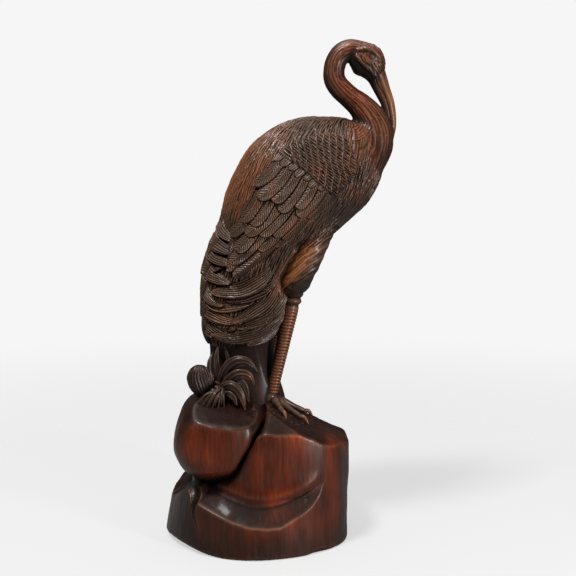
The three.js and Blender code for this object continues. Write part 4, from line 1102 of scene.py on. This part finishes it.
def displace_bird(f, p, quads):
    n = vertex_normals(p, quads)
    label = f.label_at(p)
    disp = np.zeros(len(p))
    # share of the neck: 1 on it, 0 away from its foot
    ax = spline(in_plane(NECK, 1), np.linspace(0, 1, 160))
    near_neck = p[:, 2] > 292
    idx = np.zeros(len(p), int)
    idx[near_neck] = nearest_on(ax, p[near_neck])
    r = p - ax[idx, :3]
    away = np.linalg.norm(r, axis=1) / ax[idx, 3]
    neck = near_neck * (1 - smoothstep(away, 1.3, 2.3)) * smoothstep(idx / 159, 0.0, 0.05)
    neck = np.where((label == T_HEAD) | (label == T_NECK), np.maximum(neck, label == T_HEAD), neck)
    neck = np.where((label == T_TORSO) | (label == T_NECK) | (label == T_HEAD), neck, 0.0)
    # torso, thighs: painted relief
    R = paint_torso(PX_BODY)
    on = ((label == T_TORSO) | (label == T_THIGH) | (label == T_NECK)) & (neck < 0.999)
    q = p[on]
    t, a = body_place(q)
    surf = body_at(np.clip(t, 0, 1), a)
    dist = ((q - surf) * n[on]).sum(1)
    i = np.clip(t, 0, 1) * (R.h.shape[0] - 1)
    j = (a + PI) / (2 * PI) * (R.h.shape[1] - 1)
    i0, j0 = np.clip(i.astype(int), 0, R.h.shape[0] - 2), np.clip(j.astype(int), 0, R.h.shape[1] - 2)
    u, v = i - i0, j - j0
    hm = R.h
    val = (hm[i0, j0] * (1 - u) * (1 - v) + hm[i0 + 1, j0] * u * (1 - v) + hm[i0, j0 + 1] * (1 - u) * v + hm[i0 + 1, j0 + 1] * u * v)
    reach = np.where(label[on] == T_THIGH, 5.0, 3.2 + 5.0 * smoothstep(t, 0.45, 0.55) * (dist > 0) + 13.0 * smoothstep(q[:, 2], 286, 298))
    fade = 1 - smoothstep(np.abs(dist) / reach, 0.4, 1.0)
    end = 1 - smoothstep(t, 0.985, 0.999)
    disp[on] += val * fade * end * (1 - neck[on]) * np.where(label[on] == T_THIGH, 0.25, 1.0)
    # thigh: long locks that run down and back, and a hem over the leg
    on = label == T_THIGH
    q = p[on]
    across, along = 0.69 * q[:, 0] - 0.72 * q[:, 2] + 0.3 * np.abs(q[:, 1]) + 120, -0.72 * q[:, 0] - 0.69 * q[:, 2]
    across = across + 1.3 * np.sin(along / 13 + 1)
    fold = strokes(across, along, 4.4, 26, 0.8, 12.0, keen=1.2)
    fold += strokes(across + 0.9, along + 5, 2.1, 14, 0.62, 13.0, keen=1.1) + 0.8 * (noise2(across / 5, along / 18, 14.0) - 0.5)
    fold *= 1 - smoothstep(-n[on][:, 0], 0.25, 0.6)
    outer = smoothstep(np.abs(n[on][:, 1]), 0.15, 0.55)
    hem = q[:, 2] - (204.2 + 0.59 * (q[:, 0] - 2.3) + 1.8 * np.abs(np.sin(across * 0.6)))
    disp[on] += fold * smoothstep(hem, 0.5, 3) + outer * (1.1 * smoothstep(hem, -1.2, 0.8) * (1 - smoothstep(hem, 1, 14)) - 0.5 * np.exp(-((hem + 1.8) / 1.3) ** 2))
    disp[on] += 1.1 * (noise3(q, 4.5, 15.0) - 0.5) * (1 - smoothstep(hem, -2, 1))
    # neck: long flowing cuts
    on = neck > 0.001
    q, w = p[on], neck[on]
    k = idx[on]
    tan = unit(np.gradient(ax[:, :3], axis=0))[k]
    rr = r[on]
    along = k / 159 * 135 + (rr * tan).sum(1)
    up = np.cross(tan, [0.0, 1, 0])
    phi = np.arctan2(rr[:, 1], (rr * up).sum(1))
    wob = 0.5 * np.sin(along / 9) + 0.9 * noise2(phi * 2, along / 12, 5.0)
    girth = 9.0
    cut = (0.75 * strokes(phi * girth + wob + 60, along, 3.1, 24, 0.5, 21.0, keen=1.6)
           + 0.5 * strokes(phi * girth + 1.2 * wob + 60.7, along + 5, 1.7, 12, 0.5, 22.0, keen=1.1)
           + 0.7 * (noise2(phi * 1.6 + 9, along / 17, 23.0) - 0.5))
    disp[on] += (0.95 + 0.75 * (1 - smoothstep(along, 25, 75))) * cut * w * (1 - smoothstep(along, 127, 145))
    # curled cuts where the neck turns into the shoulder
    on = ((label == T_TORSO) | (label == T_NECK)) & (p[:, 2] > 300) & (p[:, 0] > 52)
    q = p[on]
    rho, turn = np.hypot(q[:, 0] - 61, q[:, 2] - 339) + 3.0 * noise3(q, 13.0, 29.0), np.arctan2(q[:, 2] - 339, q[:, 0] - 61)
    curl = strokes(rho + 1.2 * turn + 40, turn * 14 + 60, 2.3, 12, 0.6, 27.0, keen=1.2) + 0.5 * strokes(rho + 1.2 * turn + 41, turn * 14 + 66, 1.4, 8, 0.6, 28.0)
    disp[on] += 0.7 * curl * smoothstep(rho, 3.5, 6.5) * (1 - smoothstep(rho, 13, 23)) * smoothstep(np.abs(n[on][:, 1]), 0.15, 0.5) * (1 - smoothstep(q[:, 2], 334, 342))
    # gape line along the bill and cheek
    gape = np.array([[65.9, 388.7], [67.9, 384.3], [74.8, 379.8], [77.3, 373.0], [80.3, 366.3], [85.3, 358.5], [89.2, 347], [90.8, 336]])
    on = (label == T_HEAD) | (label == T_BILL)
    q = p[on]
    g = spline(gape, np.linspace(0, 1, 90))
    d = np.sqrt(((q[:, None, [0, 2]] - g[None]) ** 2).sum(2).min(1))
    disp[on] -= 0.6 * np.exp(-((d / 0.65) ** 2)) * (np.abs(n[on][:, 1]) > 0.25)
    # small tufts behind the cheek and on the crown
    on = label == T_HEAD
    q = p[on]
    ripple = strokes(0.8 * q[:, 0] + 0.6 * q[:, 2] + 20, 0.6 * q[:, 0] - 0.8 * q[:, 2] + 1.2 * np.sin(q[:, 0]), 1.9, 5, 0.5, 25.0)
    ripple += 0.9 * (noise3(q, 3.6, 26.0) - 0.5) + 0.15
    disp[on] += ripple * smoothstep(np.hypot(q[:, 0] - 74.6, q[:, 2] - 388.6), 4.6, 6.2) * smoothstep(q[:, 0], 60, 67)
    # post, leaves: tool marks
    on = label == T_POST
    disp[on] += 0.8 * (noise3(p[on] * [1, 1, 0.45], 9.0, 31.0) - 0.5)
    on = (label == T_LEAF) | (label == T_FAN)
    disp[on] += 0.25 * (noise3(p[on], 3.0, 33.0) - 0.5)
    return p + n * disp[:, None], label


def displace_rock(p, quads):
    n = vertex_normals(p, quads)
    side = 1 - smoothstep(np.abs(n[:, 2]), 0.5, 0.9)
    # broad adze cuts with soft edges, and vertical grain
    d = 0.9 * (noise3(p * [1, 1, 0.5], 16.0, 41.0) - 0.5) + 0.5 * (noise3(p * [1, 1, 0.5], 7.0, 42.0) - 0.5)
    d += 0.16 * (noise3(p * [1, 1, 0.12], 1.8, 43.0) - 0.5) * side
    # rough cuts on top, round the feet
    top = smoothstep(n[:, 2], 0.6, 0.9) * smoothstep(p[:, 2], 86, 96) * smoothstep(p[:, 0], -26, -18) * (1 - smoothstep(p[:, 0], 22, 40))
    top *= smoothstep(p[:, 1], -50, -43)
    d += top * (1.3 * (noise3(p, 5.0, 45.0) - 0.5) + 0.7 * (noise3(p, 2.2, 46.0) - 0.5))
    d *= smoothstep(p[:, 2], 0.3, 3.0)
    q = p + n * d[:, None]
    q[:, 2] = np.maximum(q[:, 2], 0.0)
    return q


made = []

bird_field = build_bird(H_BIRD)
build_support(bird_field)
bp, bq = bird_field.mesh()
bp, blabel = displace_bird(bird_field, bp, bq)
bird = new_object("bird_draft", bp, bq)
apply_decimate(bird, BIRD_TRIS)
bird_p, bird_t = read_mesh(bird.data)
bpy.data.meshes.remove(bird.data)

for side, name in ((-1, "crane_carving_wing_right"), (1, "crane_carving_wing_left")):
    top, under, on = build_wing(side, PX_WING)
    pts, q, wall, fan = shell(top, under)
    if side > 0:
        q, wall, fan = q[:, ::-1], wall[:, ::-1], fan[:, ::-1]
    used = np.unique(np.concatenate([q.ravel(), wall.ravel(), fan.ravel()]))
    remap = np.zeros(len(pts), int)
    remap[used] = np.arange(len(used))
    made.append(new_object(name, pts[used], remap[q], remap[wall], remap[fan]))

rock_field = build_rock(H_ROCK)
rp, rq = rock_field.mesh()
rp = displace_rock(rp, rq)
rock = new_object("crane_carving_rock", rp, rq)
apply_decimate(rock, ROCK_TRIS)
made.append(rock)


def shading(name, p, tris):
    """Values that colour the wood at each vertex, with painted shade in hollows and undersides and wear with a painted
    highlight on ridges.
    """
    # painted shade: darker in grooves and hollows and, on the bird, on surfaces that face down
    (fine, broad), e, n = hollows(p, tris, (0.8, 2.3))
    facing = smooth_values(n[:, 2], e, len(p), 4)
    underside_shade = smoothstep(-facing, -0.05, 0.6)
    painted_shade = np.clip(fine / 0.15, 0, 1) * 0.75 + np.clip((broad - 0.05) / 0.5, 0, 1) * 0.6 + 0.62 * underside_shade * ("rock" not in name)
    keen = np.ones(len(p))
    if name == "bird":
        lab = bird_field.label_at(p)
        # wear and painted highlight: on the neck strongest where the surface faces the sides, raised on head and thigh
        flat_on = smoothstep(smooth_values(np.abs(n[:, 1]), e, len(p), 8), 0.55, 0.9)
        keen = np.where(lab == T_NECK, 0.45 + 1.7 * flat_on, np.where((lab == T_HEAD) | (lab == T_THIGH), 1.5, 1.0))
        keen = smooth_values(keen, e, len(p), 10)
    # wear and painted highlight: convex ridges lighter, more so where they face up
    wear_and_highlight = np.clip(-fine * keen / 0.14, 0, 1) * (1 - 0.5 * np.clip(broad / 0.5, 0, 1)) * (0.65 + 0.35 * smoothstep(facing, -0.5, 0.5))
    x, y, z = p.T
    red, matt = np.zeros(len(p)), np.zeros(len(p))
    # warm: 0 near black, 1 orange-brown
    mottle = noise3(p * [1, 1, 0.45], 20.0, 51.0) - 0.5
    patch = smoothstep(noise3(p * [1, 1, 0.6], 9.0, 52.0), 0.58, 0.74)
    if "rock" in name:
        wear_and_highlight *= 0.8
    if "wing" in name:
        wear_and_highlight *= 1.4 - 0.45 * smoothstep(z, 262, 282)
    if "wing" in name:
        warm = 0.24 + 0.42 * mottle + 0.16 * smooth_values(patch, e, len(p), 40)
        warm += 0.12 * smoothstep(x - 0.6 * (z - 300), 14, 40)
    elif "rock" in name:
        up, slope = smoothstep(n[:, 2], 0.45, 0.85), smoothstep(n[:, 2], 0.25, 0.6)
        gap = boulder_at(x, y, z)
        warm = 0.53 + 1.05 * (0.5 * mottle + 0.5 * (noise3(p * [1, 1, 0.6], 12.0, 54.0) - 0.5)) + 0.15 * (noise3(p * [1, 1, 0.2], 7.0, 53.0) - 0.5)
        warm -= 0.55 * up * smoothstep(z, 80, 96)
        turn = np.degrees(np.arctan2(y, x - PLINTH_X) % (2 * PI))
        low_z, high_z = np.interp(turn, LEDGE[:, 0], LEDGE[:, 1]), np.interp(turn, LEDGE[:, 0], LEDGE[:, 2])
        band = smoothstep(z, low_z - 0.8, low_z + 0.6) * (1 - smoothstep(z, high_z - 2.5, high_z + 0.5)) * smoothstep(turn, 226, 234) * (1 - smoothstep(turn, 302, 314))
        warm -= 0.42 * np.maximum(slope * (1 - smoothstep(z, 58, 66)), band)
        # painted shade in the valley round the boulder
        warm -= 0.38 * (1 - smoothstep(gap, 2, 15)) * smoothstep(gap, 0.3, 1.2)
        # painted shade: the boulder darker toward its rim
        warm -= 0.34 * smoothstep(np.hypot((x + 47) / 1.0, (z - 84) / 0.95), 20, 36) * (1 - smoothstep(gap, 0.3, 1.0))
        # painted shade on the low left end of the rock
        warm -= 0.60 * (1 - smoothstep(x, -70, -60)) * (1 - smoothstep(z, 50, 60))
        matt = band
        # painted shade on the right side of the rock
        warm -= 0.46 * smoothstep(x, 38, 58)
        # painted shadow: a dark line under the mass along the ledge's crease
        crack = np.exp(-(((z - high_z + 1.4) / 1.2) ** 2)) * smoothstep(turn, 230, 238) * (1 - smoothstep(turn, 304, 316))
        painted_shade = np.maximum(painted_shade, 0.9 * crack * (np.hypot(x - PLINTH_X, y) < PLINTH_R - 2))
        # painted highlight: a thin bright line along the ledge's lip
        lip = np.exp(-(((z - low_z) / 0.9) ** 2)) * smoothstep(turn, 228, 234) * (1 - smoothstep(turn, 292, 306))
        wear_and_highlight = np.maximum(wear_and_highlight, 1.1 * lip)
        # painted shade: darker towards the bottom
        warm -= 0.38 * (1 - smoothstep(z, 4, 34))
        warm -= 0.18 * smoothstep(y, -20, 20)
        red[:] = 1
    else:
        t, k = station_of(x, z)
        girth = np.arctan2(power(np.clip(np.abs(y) / 40, 0, 1.2), 1.15), power(1 - 2 * np.clip(k, 0, 1), 1.15))
        warm = 0.34 + 0.30 * mottle
        warm += 0.26 * (1 - smoothstep(girth, 1.0, 1.5)) * smoothstep(t, 0.22, 0.36) * (1 - smoothstep(t, 0.52, 0.57))
        warm += 0.22 * smoothstep(x, 48, 66) * smoothstep(z, 285, 310)
        # painted shade on the belly under the wing; the foremost part of the body a little darker
        warm -= 0.12 * smoothstep(girth, 1.5, 2.0) * smoothstep(t, 0.3, 0.4) + 0.06 * (1 - smoothstep(t, 0.3, 0.45))
        warm -= (0.12 - 0.8 * (noise3(p * [1, 1, 0.7], 11.0, 57.0) - 0.5)) * smoothstep(x, 40, 56) * smoothstep(z, 250, 262)
        warm -= 0.12 * smoothstep(t, 0.54, 0.62) * (1 - smoothstep(x, -5, 12)) * (z > 156)
        warm += 0.18 * patch * smoothstep(t, 0.54, 0.62)
        for what, gain in ((T_THIGH, 0.05), (T_NECK, 0.13), (T_HEAD, 0.08), (T_BILL, 0.18), (T_SHANK, 0.28), (T_TOE, -0.24),
                           (T_CLAW, 0.14), (T_POST, -0.09), (T_LEAF, -0.31), (T_FAN, -0.33), (T_EYE, -0.15)):
            warm = np.where(lab == what, 0.32 + 0.30 * mottle + gain, warm)
        # golden patch on the thigh, lightened further by a painted highlight; painted shade under the hem
        run = spline(np.array([[6.0, 208.5], [10.5, 216], [13.5, 222.5], [18, 229], [25, 236]], float), np.linspace(0, 1, 14))
        away = np.sqrt(((p[:, None, [0, 2]] - run[None]) ** 2).sum(2).min(1))
        gold_and_highlight = np.exp(-((away / 7.0) ** 2)) * (lab == T_THIGH)
        hem = z - (204.2 + 0.59 * (x - 2.3))
        under = (1 - smoothstep(hem, -1.5, 1.0)) * (lab == T_THIGH)
        front = smoothstep(0.88 * (x - 18.9) - 0.47 * (z - 221.4), 4, 9) * (lab == T_THIGH)
        warm += 0.38 * gold_and_highlight * (1 - under) - 0.08 * (lab == T_THIGH) - 0.16 * front
        wear_and_highlight = wear_and_highlight * (1 - 0.5 * under) + 0.35 * smooth_values(gold_and_highlight * (1 - under), e, len(p), 20)
        painted_shade = painted_shade + 0.10 * smooth_values(under, e, len(p), 6)
        red_neck = smooth_values(((lab == T_NECK) | (lab == T_HEAD)) * 0.7, e, len(p), 20)
        # painted highlight on the neck where it faces the sides, painted shade at its rims
        warm += 0.12 * (lab == T_NECK) * (flat_on - 0.6)
        # painted highlight streaks along the upper back
        streaky = (1 - smoothstep(girth, 1.1, 1.6)) * smoothstep(t, 0.2, 0.3) * (1 - smoothstep(t, 0.50, 0.56)) * (lab == T_TORSO)
        wear_and_highlight = wear_and_highlight * (1 + 2.0 * streaky)
        tips = np.exp(-((np.hypot(x + 21.5, z - 136.5) / 4.5) ** 2)) + np.exp(-(((x + 28) / 3.2) ** 2) - ((z - 117) / 6.5) ** 2)
        warm += 0.75 * tips * (lab == T_LEAF) * (y < 0)
        # the breast is redder in places
        flush = np.exp(-((np.hypot(x - 66, z - 287) / 14) ** 2)) + 0.7 * np.exp(-((np.hypot(x - 74, z - 306) / 11) ** 2))
        flush += 0.7 * np.exp(-((np.hypot(x - 52, z - 268) / 9) ** 2))
        warm += 0.32 * flush * smoothstep(noise3(p * [1, 1, 0.7], 9.0, 56.0), 0.3, 0.6)
        # painted shade under the cheek, behind the bill, on the back of the legs and on the post, on the back of the
        # thigh, and in the grooves between the scutes
        hx, hz = x - 64.2, z - 388.5
        jaw_shade = smoothstep(-(0.70 * hx + 0.71 * hz), 0.2, 3.0) * (lab == T_HEAD) * (z < 389)
        bx = np.interp(-z, -np.array([r[1] for r in BILL]), [r[0] for r in BILL])
        bill_back_shade = smoothstep(bx - x, -0.4, 1.4) * (lab == T_BILL)
        lx = SHANK_TOP[0] + (SHANK_FOOT[0] - SHANK_TOP[0]) * (SHANK_TOP[1] - z) / (SHANK_TOP[1] - SHANK_FOOT[1]) - FAR_LEG_BACK * (y > 0)
        leg_back_and_post_shade = smoothstep(lx - x, -1.0, 3.5) * (lab == T_SHANK) + 1.0 * (lab == T_POST)
        length = math.hypot(SHANK_TOP[0] - SHANK_FOOT[0], SHANK_TOP[1] - rock_height(SHANK_FOOT[0], -STANCE) + 1)
        down = (SHANK_TOP[1] - (z + 0.16 * (x - lx))) / (SHANK_TOP[1] - rock_height(SHANK_FOOT[0], -STANCE) + 1) * length
        scute_groove_shade = smoothstep(np.abs((down / SCUTE) % 1 * 2 - 1), 0.62, 0.95) * (lab == T_SHANK) * smoothstep(down, 16, 20)
        warm -= 0.22 * leg_back_and_post_shade
        thigh_back_shade = smoothstep(-n[:, 0], 0.1, 0.6) * (lab == T_THIGH) * smoothstep(-x, -34, -20)
        painted_shade = painted_shade + smooth_values(0.9 * jaw_shade + 0.5 * bill_back_shade + 0.3 * leg_back_and_post_shade + 0.2 * thigh_back_shade, e, len(p), 5) + 0.6 * scute_groove_shade
        # the painted shade is halved in the hollow between tail and thigh, which is a soft brown
        fold = spline(np.array([[34.0, 262], [24, 246], [13, 230], [5, 217], [2.5, 206]], float), np.linspace(0, 1, 14))
        away = np.sqrt(((p[:, None, [0, 2]] - fold[None]) ** 2).sum(2).min(1))
        soft = np.exp(-((away / 6.5) ** 2)) * ((lab == T_TORSO) | (lab == T_THIGH))
        painted_shade = painted_shade * (1 - 0.5 * soft)
        warm += 0.10 * soft
        warm -= 0.27 * (lab == T_SHANK) * smoothstep(z, 183, 192)
        warm = smooth_values(warm, e, len(p), 30)
        plant = (lab == T_LEAF) | (lab == T_FAN)
        wear_and_highlight = wear_and_highlight * np.where(plant, 0.65, np.where(lab == T_POST, 0.25, np.where(lab == T_TOE, 0.7, 1.0)))
        wear_and_highlight = wear_and_highlight * (1 + 0.2 * smoothstep(t, 0.54, 0.6) * (lab == T_TORSO) + 0.5 * smoothstep(x, 44, 56) * (lab == T_TORSO))
        red = 0.55 * (lab == T_CLAW) + 0.8 * (lab == T_POST) + 0.25 * (lab == T_SHANK) + 0.5 * np.clip(flush, 0, 1) + red_neck
        red = red + 0.4 * smoothstep(x, 44, 60) * smoothstep(z, 252, 266) * (lab == T_TORSO)
        matt = smooth_values(0.9 * (lab == T_POST), e, len(p), 6)
    return {"painted_shade": np.clip(painted_shade, 0, 1), "wear_and_highlight": np.clip(wear_and_highlight, 0, 1.2), "warm": np.clip(warm, 0, 1), "red": red, "matt": matt}


for ob in made:
    mp, mt = read_mesh(ob.data)
    for key, v in shading(ob.name, mp, mt).items():
        put(ob.data, key, v)
made += pieces_of("crane_carving_bird", bird_p, bird_t, 4, shading("bird", bird_p, bird_t))

# ------------------------------------------------------------------ wood
def wood_material():
    mat = bpy.data.materials.new("stained_hardwood")
    mat.use_nodes = True
    nt = mat.node_tree
    nt.nodes.clear()
    N = lambda kind, **kw: _node(nt, kind, kw)  # noqa: E731
    L = nt.links.new
    out = N("ShaderNodeOutputMaterial")
    bsdf = N("ShaderNodeBsdfPrincipled")
    L(bsdf.outputs[0], out.inputs[0])
    tc = N("ShaderNodeTexCoord")
    shade_attr, wear_and_highlight, warm = (N("ShaderNodeAttribute", attribute_name=k) for k in ("painted_shade", "wear_and_highlight", "warm"))
    stretch = N("ShaderNodeMapping")
    stretch.inputs["Scale"].default_value = (1, 1, 0.09)
    L(tc.outputs["Object"], stretch.inputs[0])
    grain = N("ShaderNodeTexNoise")
    grain.inputs["Scale"].default_value = 420
    grain.inputs["Detail"].default_value = 5
    grain.inputs["Roughness"].default_value = 0.6
    L(stretch.outputs[0], grain.inputs["Vector"])
    streak = N("ShaderNodeTexNoise")
    streak.inputs["Scale"].default_value = 85
    streak.inputs["Detail"].default_value = 4
    streak.inputs["Distortion"].default_value = 0.4
    L(stretch.outputs[0], streak.inputs["Vector"])
    # warm + streaks -> colour ramp
    red = N("ShaderNodeAttribute", attribute_name="red")
    plainer = N("ShaderNodeMath", operation="MULTIPLY_ADD")
    L(red.outputs["Fac"], plainer.inputs[0])
    plainer.inputs[1].default_value = -0.26
    plainer.inputs[2].default_value = 0.4
    s0 = N("ShaderNodeMath", operation="ADD")
    L(streak.outputs[0], s0.inputs[0])
    s0.inputs[1].default_value = -0.5
    s1 = N("ShaderNodeMath", operation="MULTIPLY")
    L(s0.outputs[0], s1.inputs[0])
    L(plainer.outputs[0], s1.inputs[1])
    s2 = N("ShaderNodeMath", operation="ADD")
    L(s1.outputs[0], s2.inputs[0])
    L(warm.outputs["Fac"], s2.inputs[1])
    ramp = N("ShaderNodeValToRGB")
    r = ramp.color_ramp
    r.elements[0].position, r.elements[0].color = 0.0, (0.017, 0.008, 0.0065, 1)
    r.elements[1].position, r.elements[1].color = 1.0, (0.38, 0.13, 0.032, 1)
    for pos, col in ((0.3, (0.055, 0.024, 0.014, 1)), (0.55, (0.125, 0.035, 0.011, 1)), (0.8, (0.24, 0.074, 0.018, 1))):
        el = r.elements.new(pos)
        el.color = col
    L(s2.outputs[0], ramp.inputs[0])
    stain = N("ShaderNodeMix", data_type="RGBA", blend_type="MULTIPLY")
    L(red.outputs["Fac"], stain.inputs["Factor"])
    L(ramp.outputs[0], stain.inputs["A"])
    stain.inputs["B"].default_value = (0.82, 0.38, 0.25, 1)
    fine = N("ShaderNodeMix", data_type="RGBA", blend_type="MULTIPLY")
    gr = N("ShaderNodeMapRange")
    L(grain.outputs[0], gr.inputs[0])
    gr.inputs[1].default_value, gr.inputs[2].default_value = 0.35, 0.7
    gr.inputs[3].default_value, gr.inputs[4].default_value = 0.62, 1.08
    fine.inputs["Factor"].default_value = 1.0
    L(stain.outputs["Result"], fine.inputs["A"])
    L(gr.outputs[0], fine.inputs["B"])
    # wear and painted highlight: ridges mixed toward a lighter copy of the wood colour
    edge = N("ShaderNodeMix", data_type="RGBA")
    L(fine.outputs["Result"], edge.inputs["A"])
    bright = N("ShaderNodeVectorMath", operation="MULTIPLY_ADD")
    L(fine.outputs["Result"], bright.inputs[0])
    bright.inputs[1].default_value = (1.9, 1.9, 1.9)
    bright.inputs[2].default_value = (0.085, 0.055, 0.034)
    L(bright.outputs[0], edge.inputs["B"])
    ew = N("ShaderNodeMath", operation="MULTIPLY")
    L(wear_and_highlight.outputs["Fac"], ew.inputs[0])
    ew.inputs[1].default_value = 0.85
    L(ew.outputs[0], edge.inputs["Factor"])
    # painted shade: hollows and undersides mixed toward near black
    shade_mix = N("ShaderNodeMix", data_type="RGBA")
    L(edge.outputs["Result"], shade_mix.inputs["A"])
    shade_mix.inputs["B"].default_value = (0.006, 0.004, 0.0035, 1)
    cw = N("ShaderNodeMath", operation="MULTIPLY")
    cw.use_clamp = True
    L(shade_attr.outputs["Fac"], cw.inputs[0])
    cw.inputs[1].default_value = 1.0
    L(cw.outputs[0], shade_mix.inputs["Factor"])
    L(shade_mix.outputs["Result"], bsdf.inputs["Base Color"])
    # gloss
    rough = N("ShaderNodeMapRange")
    L(streak.outputs[0], rough.inputs[0])
    rough.inputs[1].default_value, rough.inputs[2].default_value = 0.3, 0.7
    rough.inputs[3].default_value, rough.inputs[4].default_value = 0.30, 0.44
    radd = N("ShaderNodeMath", operation="MULTIPLY_ADD")
    L(shade_attr.outputs["Fac"], radd.inputs[0])
    radd.inputs[1].default_value = 0.35
    L(rough.outputs[0], radd.inputs[2])
    matt = N("ShaderNodeAttribute", attribute_name="matt")
    madd = N("ShaderNodeMath", operation="MULTIPLY_ADD")
    L(matt.outputs["Fac"], madd.inputs[0])
    madd.inputs[1].default_value = 0.34
    L(radd.outputs[0], madd.inputs[2])
    L(madd.outputs[0], bsdf.inputs["Roughness"])
    bsdf.inputs["Coat Weight"].default_value = 0.16
    bsdf.inputs["Coat Roughness"].default_value = 0.22
    bsdf.inputs["IOR"].default_value = 1.36
    bsdf.inputs["Specular Tint"].default_value = (1.0, 0.88, 0.80, 1)
    bump = N("ShaderNodeBump")
    bump.inputs["Strength"].default_value = 0.35
    bump.inputs["Distance"].default_value = 0.0004
    L(grain.outputs[0], bump.inputs["Height"])
    L(bump.outputs[0], bsdf.inputs["Normal"])
    return mat


def _node(nt, kind, kw):
    n = nt.nodes.new(kind)
    for k, v in kw.items():
        setattr(n, k, v)
    return n


wood = wood_material()
for ob in made:
    ob.data.materials.clear()
    ob.data.materials.append(wood)
    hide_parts("crane_carving")
    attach(ob, "root")

# ------------------------------------------------------------------ stage, light, camera
floor_mat = bpy.data.materials.new("pale_floor")
floor_mat.use_nodes = True
fnt = floor_mat.node_tree
fb = fnt.nodes["Principled BSDF"]
fb.inputs["Base Color"].default_value = (0.72, 0.72, 0.72, 1)
fb.inputs["Roughness"].default_value = 0.7
# the floor fades out into the pale surroundings
place = fnt.nodes.new("ShaderNodeTexCoord")
away = fnt.nodes.new("ShaderNodeVectorMath")
away.operation = "LENGTH"
fade = fnt.nodes.new("ShaderNodeMapRange")
fade.interpolation_type = "SMOOTHSTEP"
fade.inputs[1].default_value, fade.inputs[2].default_value = 0.15, 1.1
fade.inputs[3].default_value, fade.inputs[4].default_value = 0.62, 1.0
clear = fnt.nodes.new("ShaderNodeBsdfTransparent")
both = fnt.nodes.new("ShaderNodeMixShader")
fnt.links.new(place.outputs["Object"], away.inputs[0])
fnt.links.new(away.outputs["Value"], fade.inputs[0])
fnt.links.new(fade.outputs[0], both.inputs[0])
fnt.links.new(fb.outputs[0], both.inputs[1])
fnt.links.new(clear.outputs[0], both.inputs[2])
fnt.links.new(both.outputs[0], fnt.nodes["Material Output"].inputs[0])

rim = np.linspace(0, 2 * PI, 48, endpoint=False)
pts = np.stack([1500 * np.cos(rim), 1500 * np.sin(rim), 0 * rim], -1)
floor = new_object("floor", pts, np.arange(48)[None])
floor.data.materials.append(floor_mat)


def area(name, loc, target, size, power_w, colour=(1, 1, 1)):
    d = bpy.data.lights.new(name, "AREA")
    d.shape = "RECTANGLE"
    d.size, d.size_y = size
    d.energy = power_w
    d.color = colour
    o = bpy.data.objects.new(name, d)
    bpy.context.scene.collection.objects.link(o)
    o.location = loc
    o.visible_camera = False
    v = np.array(target) - np.array(loc)
    from mathutils import Vector
    o.rotation_euler = Vector(v).to_track_quat("-Z", "Y").to_euler()
    return o


area("key", (-0.5, -0.7, 1.75), (0, 0, 0.25), (0.36, 0.36), 27)
area("strip", (0.74, -0.72, 0.24), (0, 0, 0.10), (0.09, 0.44), 7)
area("top", (0.0, 0.35, 2.3), (0, 0.35, 0), (2.6, 2.2), 25)

world = bpy.data.worlds.new("studio")
bpy.context.scene.world = world
world.use_nodes = True
nt = world.node_tree
background = nt.nodes["Background"]
background.inputs[0].default_value = (1, 1, 1, 1)
# pale surroundings, with little light of their own
path = nt.nodes.new("ShaderNodeLightPath")
level = nt.nodes.new("ShaderNodeMapRange")
level.inputs[3].default_value, level.inputs[4].default_value = 0.06, 0.92
nt.links.new(path.outputs["Is Camera Ray"], level.inputs[0])
nt.links.new(level.outputs[0], background.inputs[1])

cam = bpy.data.cameras.new("camera")
cam.sensor_width = 36.0
cam.lens = 61.25
cam.clip_start = 0.05
camera = bpy.data.objects.new("camera", cam)
camera.location = (0.0083, -0.8, 0.29)
camera.rotation_euler = (math.radians(90 - 6.2), 0, 0)
bpy.context.scene.collection.objects.link(camera)
bpy.context.scene.camera = camera
bpy.context.scene.view_settings.view_transform = "Standard"
